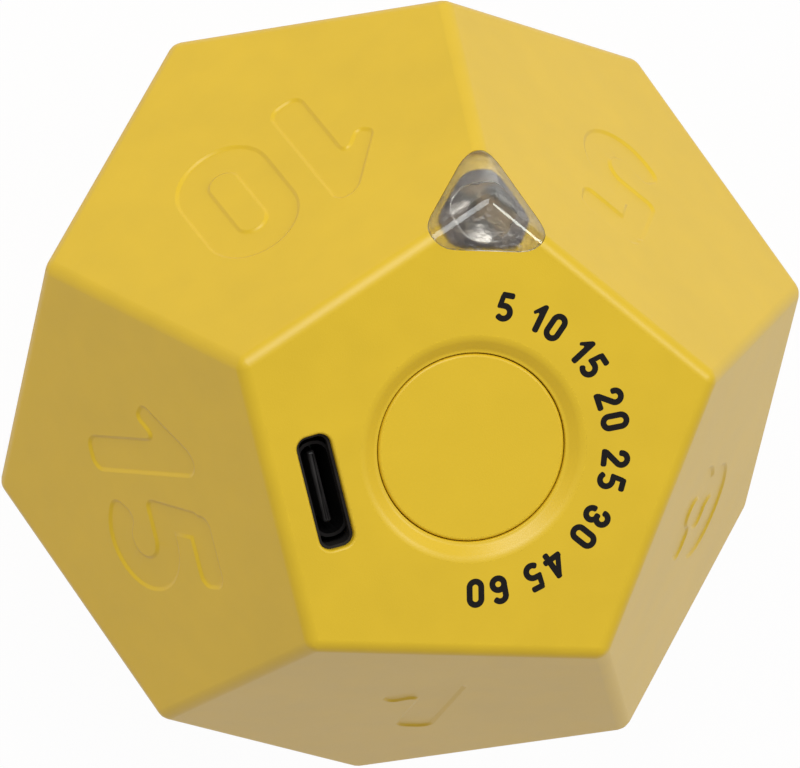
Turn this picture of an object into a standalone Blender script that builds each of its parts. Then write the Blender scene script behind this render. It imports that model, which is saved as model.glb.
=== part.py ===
"""Twelve-sided flip timer: two shells, a push button, a lit corner lens and a charging port.

Metres, +Z up. The timer stands on the face opposite the button, and the middle of that face is
the origin. The lens is the +Y corner of the button's face. Values named "level" are heights
above the middle of the solid. Values named "distance" run from that middle along the lens axis.
"""

import math

import bmesh
import bpy
from mathutils import Matrix, Vector, geometry

# Outer form
ACROSS_FLATS = 0.0600
EDGE_ROUND = 0.0015
WALL = 0.0024

# Clearances
FIT_GAP = 0.0003
OVERRUN = 0.0010
MERGE_DISTANCE = 0.00001

# Lap joint along the zigzag of edges where the two shells meet
PARTING_GAP = 0.0003
LAP_REACH = 0.0020
LAP_SKIN = 0.0011
SNAP_LENGTH = 0.0080
SNAP_RADIUS = 0.0005

# Button, its dished seat and the collar that guides it
BORE_RADIUS = 0.00865
SEAT_RADIUS = 0.00986
BUTTON_RECESS = 0.0008
BUTTON_TRAVEL = 0.0005
CAP_THICKNESS = 0.0016
CAP_EDGE_ROUND = 0.0003
SKIRT_WALL = 0.0012
COLLAR_WALL = 0.0016
COLLAR_LENGTH = 0.0034
STEM_RADIUS = 0.0020
HOOK_GRIP = 0.0005
HOOK_HEIGHT = 0.0010
HOOK_WIDTH = 0.0034
SLIT_WIDTH = 0.0007
SLIT_LENGTH = 0.0032

# Numerals engraved on the ten side faces
NUMERAL_HEIGHT = 0.0150
NUMERAL_DEPTH = 0.0002
NUMERAL_LIFT = 0.0003
NUMERAL_GAP_SHARE = 0.169
STROKE_SHARE = 0.205
BEND_STEP = math.radians(30)
UPPER_NUMERALS = ("10", "15", "1", "3", "5")
LOWER_NUMERALS = ("30", "45", "60", "20", "25")

# Digits one unit high: widths, then strokes, each given as its start, its heading in degrees and
# its runs (a length, or the radius and turn of a bend), then patches that no stroke covers
DIGIT_WIDTHS = {"0": 0.606, "1": 0.439, "2": 0.6, "3": 0.6, "4": 0.67, "5": 0.58, "6": 0.606}
DIGIT_STROKES = {
    "0": (((0.1025, 0.5), 270, (0.197, (0.2005, 180), 0.394, (0.2005, 180), 0.197)),),
    "1": (((0.3325, 0), 90, (1,)),),
    "2": (((0.1025, 0.6), 90, (0.1, (0.2005, -220), 0.55)), ((0, 0.1025), 0, (0.6,))),
    "3": (
        ((0.1025, 0.62), 90, (0.07875, (0.19875, -270), 0.1)),
        ((0.1025, 0.39), 270, (0.08475, (0.20275, 270), 0.1)),
    ),
    "4": (((0.11, 0.285), 64, (0.71,)), ((0.46, 0), 90, (1,)), ((0, 0.29), 0, (0.67,))),
    "5": (((0.086, 0.8975), 0, (0.454,)), ((0.06, 0.534), 0, (0.2035, (0.218, -215), 0.1))),
    "6": (
        ((0.1025, 0.303), 270, ((0.2005, 180), (0.2005, 180))),
        ((0.1085, 0.25), 90, (0.447, (0.1975, -135), 0.09)),
    ),
}
DIGIT_PATCHES = {
    "1": ((0.33, 1), (0.3, 1), (0, 0.634), (0.074, 0.543), (0.225, 0.69), (0.33, 0.69)),
    "5": ((0.07, 0.91), (0, 0.425), (0.19, 0.47), (0.24, 0.91)),
}

# Corner lens, the pocket it sits in and the sleeve behind it
LENS_APOTHEM = 0.00397
LENS_CORNER_RADIUS = 0.00227
LENS_SEAT_DEPTH = 0.0042
LENS_SPIGOT = 0.0006
CORNER_WEB_DEPTH = 0.0054
SLEEVE_BORE_RADIUS = 0.0028
SLEEVE_WALL = 0.0014

# Light
LIGHT_LENGTH = 0.0044
LIGHT_FLANGE_THICKNESS = 0.0010
LIGHT_FLANGE_WIDTH = 0.0004
LEG_RADIUS = 0.00025
LEG_SPACING = 0.00254
LEG_STRAIGHT = 0.0009
LEG_REACH = 0.0010
LEG_HOLE_RADIUS = 0.00055

# Charging port
SLOT_LENGTH = 0.0106
SLOT_WIDTH = 0.0032
SLOT_CORNER_RADIUS = 0.0011
SLOT_EDGE_ROUND = 0.0003
PORT_OUTWARD_SHIFT = 0.0002
PORT_WALL = 0.0012
SOCKET_LENGTH = 0.00894
SOCKET_WIDTH = 0.00316
SOCKET_CORNER_RADIUS = 0.00143
SOCKET_METAL = 0.0003
SOCKET_RECESS = 0.0003
TONGUE_LENGTH = 0.0067
TONGUE_THICKNESS = 0.0007
TONGUE_CORNER_RADIUS = 0.0002
TONGUE_RECESS = 0.0009
TONGUE_BASE = 0.0015
SURROUND_LENGTH = 0.0126
SURROUND_WIDTH = 0.0048
SURROUND_HEIGHT = 0.0020
SURROUND_CORNER_RADIUS = 0.0012

# Main board and the three bosses that carry it
BOARD_DEPTH = 0.0100
BOARD_THICKNESS = 0.0016
BOARD_MARGIN = 0.0010
BOARD_CORNER_RADIUS = 0.0030
BOARD_LENS_CLEARANCE = 0.0053
BOSS_RADIUS = 0.0024
BOSS_INSET = 0.0070
SCREW_RADIUS = 0.0009
SCREW_LENGTH = 0.0060
SCREW_HEAD_RADIUS = 0.0019
SCREW_HEAD_HEIGHT = 0.0013
SCREW_RECESS_RADIUS = 0.0008
SCREW_RECESS_DEPTH = 0.0007

# Push switch
SWITCH_SIZE = 0.0060
SWITCH_HEIGHT = 0.0034
SWITCH_COVER = 0.0003
PLUNGER_RADIUS = 0.0017
PLUNGER_RISE = 0.0009
PLUNGER_LENGTH = 0.0027

# Parts on the underside of the board: sizes, then places from the board's middle
PROCESSOR_SIZE = 0.0070
PROCESSOR_HEIGHT = 0.0012
PROCESSOR_PLACE = (-0.0015, 0.0045)
CHARGER_LENGTH = 0.0050
CHARGER_WIDTH = 0.0039
CHARGER_HEIGHT = 0.0014
CHARGER_PLACE = (-0.0095, -0.0040)
CHIP_LEG_WIDTH = 0.0003
CHIP_LEG_REACH = 0.0010
CHIP_LEG_THICKNESS = 0.0003
SMALL_EDGE = 0.00015
SENSOR_SIZE = 0.0030
SENSOR_HEIGHT = 0.0010
SENSOR_PLACE = (0.0090, 0.0060)
CRYSTAL_RADIUS = 0.0010
CRYSTAL_LENGTH = 0.0060
CRYSTAL_PLACE = (-0.0085, 0.0050)
BUZZER_RADIUS = 0.0060
BUZZER_HEIGHT = 0.0065
BUZZER_HOLE_RADIUS = 0.0010
BUZZER_HOLE_DEPTH = 0.0020
BUZZER_EDGE = 0.0004
BUZZER_PLACE = (0.0085, -0.0065)
JACK_LENGTH = 0.0075
JACK_WIDTH = 0.0057
JACK_HEIGHT = 0.0060
JACK_WALL = 0.0007
JACK_FLOOR = 0.0012
JACK_PLACE = (-0.0020, -0.0120)
PLUG_REACH = 0.0012

# Rechargeable cell in its frame on the lower shell
CELL_LENGTH = 0.0250
CELL_WIDTH = 0.0200
CELL_THICKNESS = 0.0060
CELL_EDGE_ROUND = 0.0012
CELL_LEDGE_LENGTH = 0.0030
CELL_LEDGE_THICKNESS = 0.0034
CELL_SHIFT = 0.0018
PAD_THICKNESS = 0.0010
PAD_MARGIN = 0.0012
FRAME_WALL = 0.0012
FRAME_HEIGHT = 0.0050
LEAD_RADIUS = 0.0005
LEAD_SPACING = 0.0020
LEAD_SLACK = 0.0060

# Shape of a regular twelve-sided solid, as shares of its edge
SIDES = 5
FIFTH_TURN = 2 * math.pi / SIDES
QUARTER_TURN = math.pi / 2
GOLDEN_SHARE = (1 + math.sqrt(5)) / 2
FACE_CIRCLE_SHARE = 1 / (2 * math.sin(FIFTH_TURN / 2))
INRADIUS_SHARE = GOLDEN_SHARE ** 2 / (2 * math.sqrt(3 - GOLDEN_SHARE))
SIDE_RISE_SHARE = 1 / math.sqrt(5)
SIDE_OUT_SHARE = 2 / math.sqrt(5)
FLAT_ANGLE = math.radians(1)
REGION_SHARE = 1.25

# Turns about +Z, from +X
LENS_TURN = QUARTER_TURN
PORT_TURN = LENS_TURN + FIFTH_TURN + FIFTH_TURN / 2
BOSS_TURNS = (PORT_TURN - FIFTH_TURN / 2, PORT_TURN + FIFTH_TURN / 2, PORT_TURN + math.pi)

# Counts of steps round curves, and of repeated features
LARGE_STEPS = 60
MEDIUM_STEPS = 32
SMALL_STEPS = 16
SNAP_STEPS = 8
EDGE_STEPS = 3
CORNER_STEPS = 4
LENS_CORNER_STEPS = 6
CAP_EDGE_STEPS = 2
BLOCK_EDGE_STEPS = 2
DOME_STEPS = 6
LEAD_STEPS = 5
LEG_STEPS = 3
WIRE_RESOLUTION = 2
HOOK_COUNT = 3
PROCESSOR_LEGS = 7
CHARGER_LEGS = 4
LEG_PITCH_SHARE = 0.82
ROUND_PROFILE_SHARE = 0.5

# Levels and sizes that follow from the ones above
FACE_LEVEL = ACROSS_FLATS / 2
INNER_LEVEL = FACE_LEVEL - WALL
JOIN_LEVEL = INNER_LEVEL + WALL / 2
CAP_LEVEL = FACE_LEVEL - BUTTON_RECESS
CAP_UNDERSIDE = CAP_LEVEL - CAP_THICKNESS
COLLAR_END = INNER_LEVEL - COLLAR_LENGTH
HOOK_TOP = COLLAR_END - FIT_GAP
SKIRT_END = HOOK_TOP - HOOK_HEIGHT
BOARD_TOP = FACE_LEVEL - BOARD_DEPTH
BOARD_UNDERSIDE = BOARD_TOP - BOARD_THICKNESS
BOSS_END = BOARD_TOP + FIT_GAP
UNDERSIDE_SEAT = BOARD_UNDERSIDE - FIT_GAP
SWITCH_BASE = BOARD_TOP + FIT_GAP
SWITCH_TOP = SWITCH_BASE + SWITCH_HEIGHT
COVER_TOP = SWITCH_TOP + FIT_GAP + SWITCH_COVER
PLUNGER_TOP = COVER_TOP + PLUNGER_RISE
PLUNGER_END = PLUNGER_TOP - PLUNGER_LENGTH
STEM_END = PLUNGER_TOP + FIT_GAP
SURROUND_TOP = FACE_LEVEL - PORT_WALL - FIT_GAP
SURROUND_END = SURROUND_TOP - SURROUND_HEIGHT
SOCKET_TOP = SURROUND_TOP - SOCKET_RECESS
CAP_RADIUS = BORE_RADIUS - FIT_GAP
COLLAR_RADIUS = BORE_RADIUS + COLLAR_WALL
SLEEVE_RADIUS = SLEEVE_BORE_RADIUS + SLEEVE_WALL
LIGHT_RADIUS = SLEEVE_BORE_RADIUS - FIT_GAP
PAD_BASE = FIT_GAP - INNER_LEVEL
CELL_BASE = PAD_BASE + PAD_THICKNESS + FIT_GAP

# Colour, roughness, metallic share and alpha share of each finish
YELLOW = (0.72, 0.49, 0.045)
CLEAR = (0.90, 0.90, 0.92)
BLACK = (0.012, 0.012, 0.013)
GREY = (0.10, 0.10, 0.11)
SILVER = (0.60, 0.60, 0.62)
WHITE = (0.75, 0.75, 0.72)
GREEN = (0.02, 0.12, 0.05)
RED = (0.45, 0.02, 0.02)
FINISHES = {
    "shell_plastic": (YELLOW, 0.42, 0.0, 1.0),
    "button_plastic": (YELLOW, 0.40, 0.0, 1.0),
    "lens_plastic": (CLEAR, 0.05, 0.0, 0.4),
    "light_resin": (CLEAR, 0.08, 0.0, 0.5),
    "leg_metal": (SILVER, 0.30, 1.0, 1.0),
    "socket_metal": (GREY, 0.35, 1.0, 1.0),
    "tongue_plastic": (BLACK, 0.35, 0.0, 1.0),
    "surround_rubber": (BLACK, 0.50, 0.0, 1.0),
    "board_laminate": (GREEN, 0.45, 0.0, 1.0),
    "screw_steel": (SILVER, 0.30, 1.0, 1.0),
    "switch_plastic": (BLACK, 0.45, 0.0, 1.0),
    "switch_steel": (SILVER, 0.30, 1.0, 1.0),
    "chip_resin": (BLACK, 0.50, 0.0, 1.0),
    "crystal_steel": (SILVER, 0.25, 1.0, 1.0),
    "buzzer_plastic": (BLACK, 0.50, 0.0, 1.0),
    "jack_plastic": (WHITE, 0.50, 0.0, 1.0),
    "cell_foil": (SILVER, 0.35, 0.8, 1.0),
    "pad_foam": (GREY, 0.90, 0.0, 1.0),
    "red_sleeve": (RED, 0.40, 0.0, 1.0),
    "black_sleeve": (BLACK, 0.40, 0.0, 1.0),
}


def polar(radius, turn, level=0.0):
    """A point at this radius and turn about the upright axis."""
    return Vector((radius * math.cos(turn), radius * math.sin(turn), level))


def corner_rings(inradius):
    """The five corners of the top face and the five below them, from the solid's middle."""
    face_circle = inradius / INRADIUS_SHARE * FACE_CIRCLE_SHARE
    turns = [LENS_TURN + index * FIFTH_TURN for index in range(SIDES)]
    upper = [polar(face_circle, turn, inradius) for turn in turns]
    girdle = [polar(face_circle * GOLDEN_SHARE, turn, inradius - face_circle) for turn in turns]
    return upper, girdle


def section_apothem(level, inradius):
    """From the axis to a side face, at a level of the upper half."""
    return (inradius - level * SIDE_RISE_SHARE) / SIDE_OUT_SHARE


# The corner that the lens takes the place of, and the parts behind it
LENS_CORNER = corner_rings(FACE_LEVEL)[0][0]
LENS_DIRECTION = LENS_CORNER.normalized()
LENS_TILT = math.atan2(LENS_CORNER.y, LENS_CORNER.z)
CORNER_DISTANCE = LENS_CORNER.length
SEAT_DISTANCE = CORNER_DISTANCE - LENS_SEAT_DEPTH
WEB_DISTANCE = CORNER_DISTANCE - CORNER_WEB_DEPTH
FLANGE_DISTANCE = SEAT_DISTANCE - LENS_SPIGOT - FIT_GAP - LIGHT_LENGTH
SLEEVE_DISTANCE = FLANGE_DISTANCE + FIT_GAP
LEGS_DISTANCE = FLANGE_DISTANCE - LIGHT_FLANGE_THICKNESS - FIT_GAP
LEG_HOLE_PLACE = BOSS_END * math.tan(LENS_TILT)

# The board fills the hollow at its level, and the port stands between collar and side wall
BOARD_APOTHEM = section_apothem(BOARD_TOP, INNER_LEVEL) - BOARD_MARGIN
BOARD_LENS_EDGE = LENS_CORNER.y - BOARD_LENS_CLEARANCE
BOSS_PLACE = BOARD_APOTHEM / math.cos(FIFTH_TURN / 2) - BOSS_INSET
PORT_MIDWAY = (COLLAR_RADIUS + section_apothem(INNER_LEVEL, INNER_LEVEL)) / 2
PORT_PLACE = PORT_MIDWAY + PORT_OUTWARD_SHIFT


class Workshop:
    """The two collections, the materials, and the guides that carry the pieces."""

    def __init__(self):
        self.parts = self.collection("flip_timer")
        self.cutters = self.collection("cutters")
        self.materials = {}
        port_turn = (0, 0, PORT_TURN - QUARTER_TURN)
        self.middle = self.guide("timer_middle", None, (0, 0, FACE_LEVEL))
        self.button_axis = self.guide("button_axis", self.middle)
        self.lens_axis = self.guide("lens_axis", self.middle, rotation=(-LENS_TILT, 0, 0))
        self.port_axis = self.guide("port_axis", self.middle, polar(PORT_PLACE, PORT_TURN), port_turn)

    def collection(self, name):
        """A new collection in the scene."""
        group = bpy.data.collections.new(name)
        bpy.context.scene.collection.children.link(group)
        return group

    def guide(self, name, parent, location=(0, 0, 0), rotation=(0, 0, 0)):
        """An empty that carries other objects."""
        item = bpy.data.objects.new(name, None)
        bpy.context.scene.collection.objects.link(item)
        item.parent = parent
        item.location = location
        item.rotation_euler = rotation
        return item

    def material(self, finish):
        """The plain shader of a finish, made once."""
        if finish not in self.materials:
            colour, roughness, metallic_share, alpha_share = FINISHES[finish]
            made = bpy.data.materials.new(finish)
            made.use_nodes = True
            inputs = made.node_tree.nodes["Principled BSDF"].inputs
            inputs["Base Color"].default_value = (*colour, 1)
            inputs["Roughness"].default_value = roughness
            inputs["Metallic"].default_value = metallic_share
            inputs["Alpha"].default_value = alpha_share
            self.materials[finish] = made
        return self.materials[finish]

    def piece(self, name, data, carrier, finish, location=(0, 0, 0)):
        """A part of the timer, from a mesh or a curve."""
        item = bpy.data.objects.new(name, data)
        self.parts.objects.link(item)
        item.parent = carrier
        item.location = location
        data.materials.append(self.material(finish))
        return item

    def cutter(self, name, data, carrier, location=(0, 0, 0)):
        """A solid that only shapes other solids."""
        item = bpy.data.objects.new(name, data)
        self.cutters.objects.link(item)
        item.parent = carrier
        item.location = location
        item.hide_render = True
        item.display_type = "WIRE"
        return item

    def turned_piece(self, name, profile, carrier, finish, steps=MEDIUM_STEPS, location=(0, 0, 0)):
        """A round part, from the line down its outer side."""
        item = self.piece(name, outline_mesh(name, profile), carrier, finish, location)
        turn_about_axis(item, steps, True)
        return item

    def turned_cutter(self, name, profile, carrier, steps=MEDIUM_STEPS):
        """A round cutter, from the line down its outer side."""
        item = self.cutter(name, outline_mesh(name, profile), carrier)
        turn_about_axis(item, steps, False)
        return item

    def wire(self, name, points, radius, finish):
        """A round wire along a line of points."""
        curve = bpy.data.curves.new(name, "CURVE")
        curve.dimensions = "3D"
        curve.bevel_depth = radius
        curve.bevel_resolution = WIRE_RESOLUTION
        curve.use_fill_caps = True
        line = curve.splines.new("POLY")
        line.points.add(len(points) - 1)
        for knot, point in zip(line.points, points):
            knot.co = (*point, 1)
        return self.piece(name, curve, self.middle, finish)


def to_mesh(name, form):
    """A mesh from a bmesh, with its faces turned outwards."""
    bmesh.ops.recalc_face_normals(form, faces=form.faces)
    mesh = bpy.data.meshes.new(name)
    form.to_mesh(mesh)
    form.free()
    return mesh


def outline_mesh(name, profile):
    """A line of edges in the XZ plane, closed where it stays clear of the axis."""
    form = bmesh.new()
    verts = [form.verts.new((radius, 0, level)) for radius, level in profile]
    for upper, lower in zip(verts, verts[1:]):
        form.edges.new((upper, lower))
    if profile[0][0] > 0:
        form.edges.new((verts[-1], verts[0]))
    mesh = bpy.data.meshes.new(name)
    form.to_mesh(mesh)
    form.free()
    return mesh


def turn_about_axis(item, steps, is_smooth):
    """Turn an outline into a round solid."""
    spin = item.modifiers.new("turn", "SCREW")
    spin.steps = steps
    spin.render_steps = steps
    spin.use_merge_vertices = True
    spin.merge_threshold = MERGE_DISTANCE
    spin.use_smooth_shade = is_smooth


def combine(target, other, operation="DIFFERENCE"):
    """Cut, join or trim one object with another."""
    step = target.modifiers.new(other.name, "BOOLEAN")
    step.operation = operation
    step.solver = "EXACT"
    step.object = other


def weld(target):
    """Join corners that a cut has left in the same place."""
    step = target.modifiers.new("weld", "WELD")
    step.merge_threshold = MERGE_DISTANCE


def rounded_outline(corners, radius, steps=CORNER_STEPS):
    """An anticlockwise outline through these corners, each turned into an arc."""
    points = []
    for index, corner in enumerate(corners):
        back = (corners[index - 1] - corner).normalized()
        ahead = (corners[(index + 1) % len(corners)] - corner).normalized()
        half_angle = back.angle(ahead) / 2
        middle = corner + (back + ahead).normalized() * radius / math.sin(half_angle)
        start = corner + back * radius / math.tan(half_angle)
        sweep = math.pi - 2 * half_angle
        for step in range(steps + 1):
            turn = Matrix.Rotation(sweep * step / steps, 2)
            points.append(middle + turn @ (start - middle))
    return points


def rounded_rectangle(length, width, radius):
    """Outline of a rectangle about the origin, its length along X, with round corners."""
    corners = [
        Vector((-length / 2, -width / 2)),
        Vector((length / 2, -width / 2)),
        Vector((length / 2, width / 2)),
        Vector((-length / 2, width / 2)),
    ]
    return rounded_outline(corners, radius)


def polygon(sides, apothem):
    """Corners of a regular polygon about the origin, the first towards the lens."""
    radius = apothem / math.cos(math.pi / sides)
    return [polar(radius, LENS_TURN + index * 2 * math.pi / sides).to_2d() for index in range(sides)]


def lofted(*sections):
    """A solid through outlines of equal point counts, each given with its level."""
    form = bmesh.new()
    outline, level = sections[0]
    floor = form.faces.new([form.verts.new((point.x, point.y, level)) for point in outline])
    skin = floor
    for outline, level in sections[1:]:
        grown = bmesh.ops.extrude_face_region(form, geom=[skin])["geom"]
        if skin is not floor:
            bmesh.ops.delete(form, geom=[skin], context="FACES_ONLY")
        skin = next(item for item in grown if isinstance(item, bmesh.types.BMFace))
        for vert, point in zip(skin.verts, outline):
            vert.co = (point.x, point.y, level)
    return form


def add_box(form, length, width, height, matrix):
    """Add a box to a bmesh."""
    size = Matrix.Diagonal((length, width, height, 1))
    bmesh.ops.create_cube(form, size=1, matrix=matrix @ size)


def add_cylinder(form, radius, length, matrix, steps=SMALL_STEPS):
    """Add a cylinder to a bmesh."""
    bmesh.ops.create_cone(form, cap_ends=True, segments=steps, radius1=radius, radius2=radius,
                          depth=length, matrix=matrix)


def block(length, width, height, edge=0.0):
    """A box about the origin, its edges rounded where a radius is given."""
    form = bmesh.new()
    add_box(form, length, width, height, Matrix())
    if edge:
        bmesh.ops.bevel(form, geom=form.edges, offset=edge, segments=BLOCK_EDGE_STEPS,
                        profile=ROUND_PROFILE_SHARE, affect="EDGES", material=-1)
    return form


def through(points, steps):
    """A smooth line that passes through these points."""
    ends = [points[0] * 2 - points[1], *points, points[-1] * 2 - points[-2]]
    line = [points[0]]
    for before, start, end, after in zip(ends, ends[1:], ends[2:], ends[3:]):
        for step in range(1, steps + 1):
            share = step / steps
            slope = (end - before) * share
            bend = (before * 2 - start * 5 + end * 4 - after) * share ** 2
            twist = (start * 3 - before - end * 3 + after) * share ** 3
            line.append((start * 2 + slope + bend + twist) / 2)
    return line


def twelve_sided(inradius, rounding=0.0):
    """The regular solid about the origin, its edges rounded where a radius is given."""
    form = bmesh.new()
    for ring in corner_rings(inradius):
        for corner in ring:
            form.verts.new(corner)
            form.verts.new(-corner)
    bmesh.ops.convex_hull(form, input=form.verts)
    bmesh.ops.dissolve_limit(form, angle_limit=FLAT_ANGLE, verts=form.verts, edges=form.edges)
    bmesh.ops.recalc_face_normals(form, faces=form.faces)
    if rounding:
        setback = rounding * math.tan(math.acos(SIDE_RISE_SHARE) / 2)
        bmesh.ops.bevel(form, geom=form.edges, offset=setback, offset_type="OFFSET",
                        segments=EDGE_STEPS, profile=ROUND_PROFILE_SHARE, affect="EDGES", material=-1)
    return form


def half_region(side, shift):
    """Everything above (1) or below (-1) the zigzag parting line, wider than the timer."""
    form = twelve_sided(FACE_LEVEL * REGION_SHARE)
    other_side = [face for face in form.faces if face.normal.z * side < 0]
    bmesh.ops.delete(form, geom=other_side, context="FACES")
    rim = [edge for edge in form.edges if edge.is_boundary]
    wall = bmesh.ops.extrude_edge_only(form, edges=rim)["geom"]
    tips = [item for item in wall if isinstance(item, bmesh.types.BMVert)]
    bmesh.ops.pointmerge(form, verts=tips, merge_co=(0, 0, 0))
    bmesh.ops.translate(form, verts=form.verts, vec=(0, 0, shift))
    return form


def girdle_edges(inradius):
    """The ten zigzag edges, each as its upper end and its lower end."""
    girdle = corner_rings(inradius)[1]
    for index, high in enumerate(girdle):
        for step in (SIDES // 2, SIDES // 2 + 1):
            yield high, -girdle[(index + step) % SIDES]


def parting_steepness():
    """Rise of the parting surface's normal: an upward shift opens this share of it as a gap."""
    high, low = next(girdle_edges(FACE_LEVEL))
    return abs(high.cross(low).normalized().z)


def snap_rods(radius, length):
    """Ten small rods along the tongue, one above each zigzag edge."""
    rods = bmesh.new()
    for high, low in girdle_edges(FACE_LEVEL - LAP_SKIN - FIT_GAP):
        outward = Vector((low.x, low.y, 0)).normalized() * SIDE_OUT_SHARE
        normal = outward + Vector((0, 0, SIDE_RISE_SHARE))
        along = (high - low).normalized()
        upward = normal.cross(along)
        upward *= math.copysign(1, upward.z)
        middle = (high + low) / 2 + upward * LAP_REACH / 2
        frame = along.to_track_quat("Z", "X").to_matrix().to_4x4()
        add_cylinder(rods, radius, length, Matrix.Translation(middle) @ frame, SNAP_STEPS)
    return rods


def stroke_tiles(start, heading, runs):
    """The four-sided tiles of a flat stroke."""
    spot = Vector(start)
    direction = polar(1, math.radians(heading)).to_2d()
    sections = [stroke_section(spot, direction)]
    for run in runs:
        radius, turn = run if isinstance(run, tuple) else (0, 0)
        centre = spot + direction.orthogonal() * math.copysign(radius, turn)
        steps = math.ceil(abs(math.radians(turn)) / BEND_STEP)
        for _ in range(steps):
            swing = Matrix.Rotation(math.radians(turn) / steps, 2)
            spot = centre + swing @ (spot - centre)
            direction = swing @ direction
            sections.append(stroke_section(spot, direction))
        if not steps:
            spot = spot + direction * run
            sections.append(stroke_section(spot, direction))
    return [(*first, *reversed(last)) for first, last in zip(sections, sections[1:])]


def stroke_section(spot, direction):
    """The two ends of a line straight across a stroke."""
    side = direction.orthogonal() * STROKE_SHARE / 2
    return spot + side, spot - side


def flat_digit(digit):
    """One flat form that covers all tiles and patches of a digit."""
    tiles = [tile for stroke in DIGIT_STROKES[digit] for tile in stroke_tiles(*stroke)]
    if digit in DIGIT_PATCHES:
        tiles.append([Vector(point) for point in DIGIT_PATCHES[digit]])
    points = [point for tile in tiles for point in tile]
    indices = iter(range(len(points)))
    faces = [[next(indices) for _ in tile] for tile in tiles]
    points, _, faces, _, _, sources = geometry.delaunay_2d_cdt(points, [], faces, 1, MERGE_DISTANCE)
    form = bmesh.new()
    verts = [form.verts.new((*point, 0)) for point in points]
    for face, source in zip(faces, sources):
        if source:
            form.faces.new([verts[index] for index in face])
    loose = [vert for vert in form.verts if not vert.link_faces]
    bmesh.ops.delete(form, geom=loose, context="VERTS")
    bmesh.ops.dissolve_limit(form, angle_limit=FLAT_ANGLE, verts=form.verts, edges=form.edges)
    return form


def side_frame(turn, half):
    """The frame on a side face: X to the right, Y up, Z outwards, the origin at its middle."""
    normal = polar(SIDE_OUT_SHARE, turn, half * SIDE_RISE_SHARE)
    upward = (Vector((0, 0, 1)) - normal * normal.z).normalized()
    turned = Matrix((upward.cross(normal), upward, normal)).transposed().to_4x4()
    return Matrix.Translation(normal * FACE_LEVEL) @ turned


def engraving(numerals, half):
    """Cutter of the numerals on the five side faces of the upper (1) or the lower (-1) shell."""
    cutter = bpy.data.meshes.new("numerals")
    form = bmesh.new()
    size = Matrix.Diagonal((NUMERAL_HEIGHT, NUMERAL_HEIGHT, 1, 1))
    turn = LENS_TURN if half < 0 else LENS_TURN - FIFTH_TURN / 2
    for text in numerals:
        turn += FIFTH_TURN
        face = side_frame(turn, half)
        width = sum(DIGIT_WIDTHS[digit] for digit in text) + NUMERAL_GAP_SHARE * (len(text) - 1)
        left = -width / 2
        for digit in text:
            corner = (left * NUMERAL_HEIGHT, NUMERAL_LIFT - NUMERAL_HEIGHT / 2, -NUMERAL_DEPTH)
            flat = flat_digit(digit)
            raise_flat(flat, NUMERAL_DEPTH + OVERRUN)
            flat.transform(face @ Matrix.Translation(corner) @ size)
            flat.to_mesh(cutter)
            flat.free()
            form.from_mesh(cutter)
            left += DIGIT_WIDTHS[digit] + NUMERAL_GAP_SHARE
    bpy.data.meshes.remove(cutter)
    return form


def raise_flat(form, height):
    """Make a flat form a solid of this height."""
    grown = bmesh.ops.extrude_face_region(form, geom=form.faces[:], use_keep_orig=True)["geom"]
    top = [item for item in grown if isinstance(item, bmesh.types.BMVert)]
    bmesh.ops.translate(form, verts=top, vec=(0, 0, height))


def upper_hollow():
    """Hollow of the upper shell, cut short at the lens so that a web is left there."""
    form = twelve_sided(INNER_LEVEL)
    geometry = [*form.verts, *form.edges, *form.faces]
    bmesh.ops.bisect_plane(form, geom=geometry, plane_co=LENS_DIRECTION * WEB_DISTANCE,
                           plane_no=LENS_DIRECTION, clear_outer=True)
    bmesh.ops.holes_fill(form, edges=[edge for edge in form.edges if edge.is_boundary])
    return form


def lens_prism(clearance):
    """Three-sided block along the lens axis, from the pocket's floor outwards."""
    corners = polygon(3, LENS_APOTHEM - clearance)
    outline = rounded_outline(corners, LENS_CORNER_RADIUS - clearance, LENS_CORNER_STEPS)
    return lofted((outline, SEAT_DISTANCE + clearance), (outline, CORNER_DISTANCE + OVERRUN))


def lap_solids(shop):
    """The tongue of the lower shell, and the pocket for it in the upper shell."""
    steepness = parting_steepness()
    tongue_top = LAP_REACH / steepness
    pocket_top = (LAP_REACH + PARTING_GAP) / steepness
    solids = []
    for name, inradius, top in (
        ("tongue", FACE_LEVEL - LAP_SKIN - FIT_GAP, tongue_top),
        ("lap_pocket", FACE_LEVEL - LAP_SKIN, pocket_top),
    ):
        solid = shop.cutter(name, to_mesh(name, twelve_sided(inradius)), shop.middle)
        above = shop.cutter(f"above_{name}", to_mesh(name, half_region(1, top)), shop.middle)
        combine(solid, above)
        weld(solid)
        solids.append(solid)
    return solids


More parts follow.
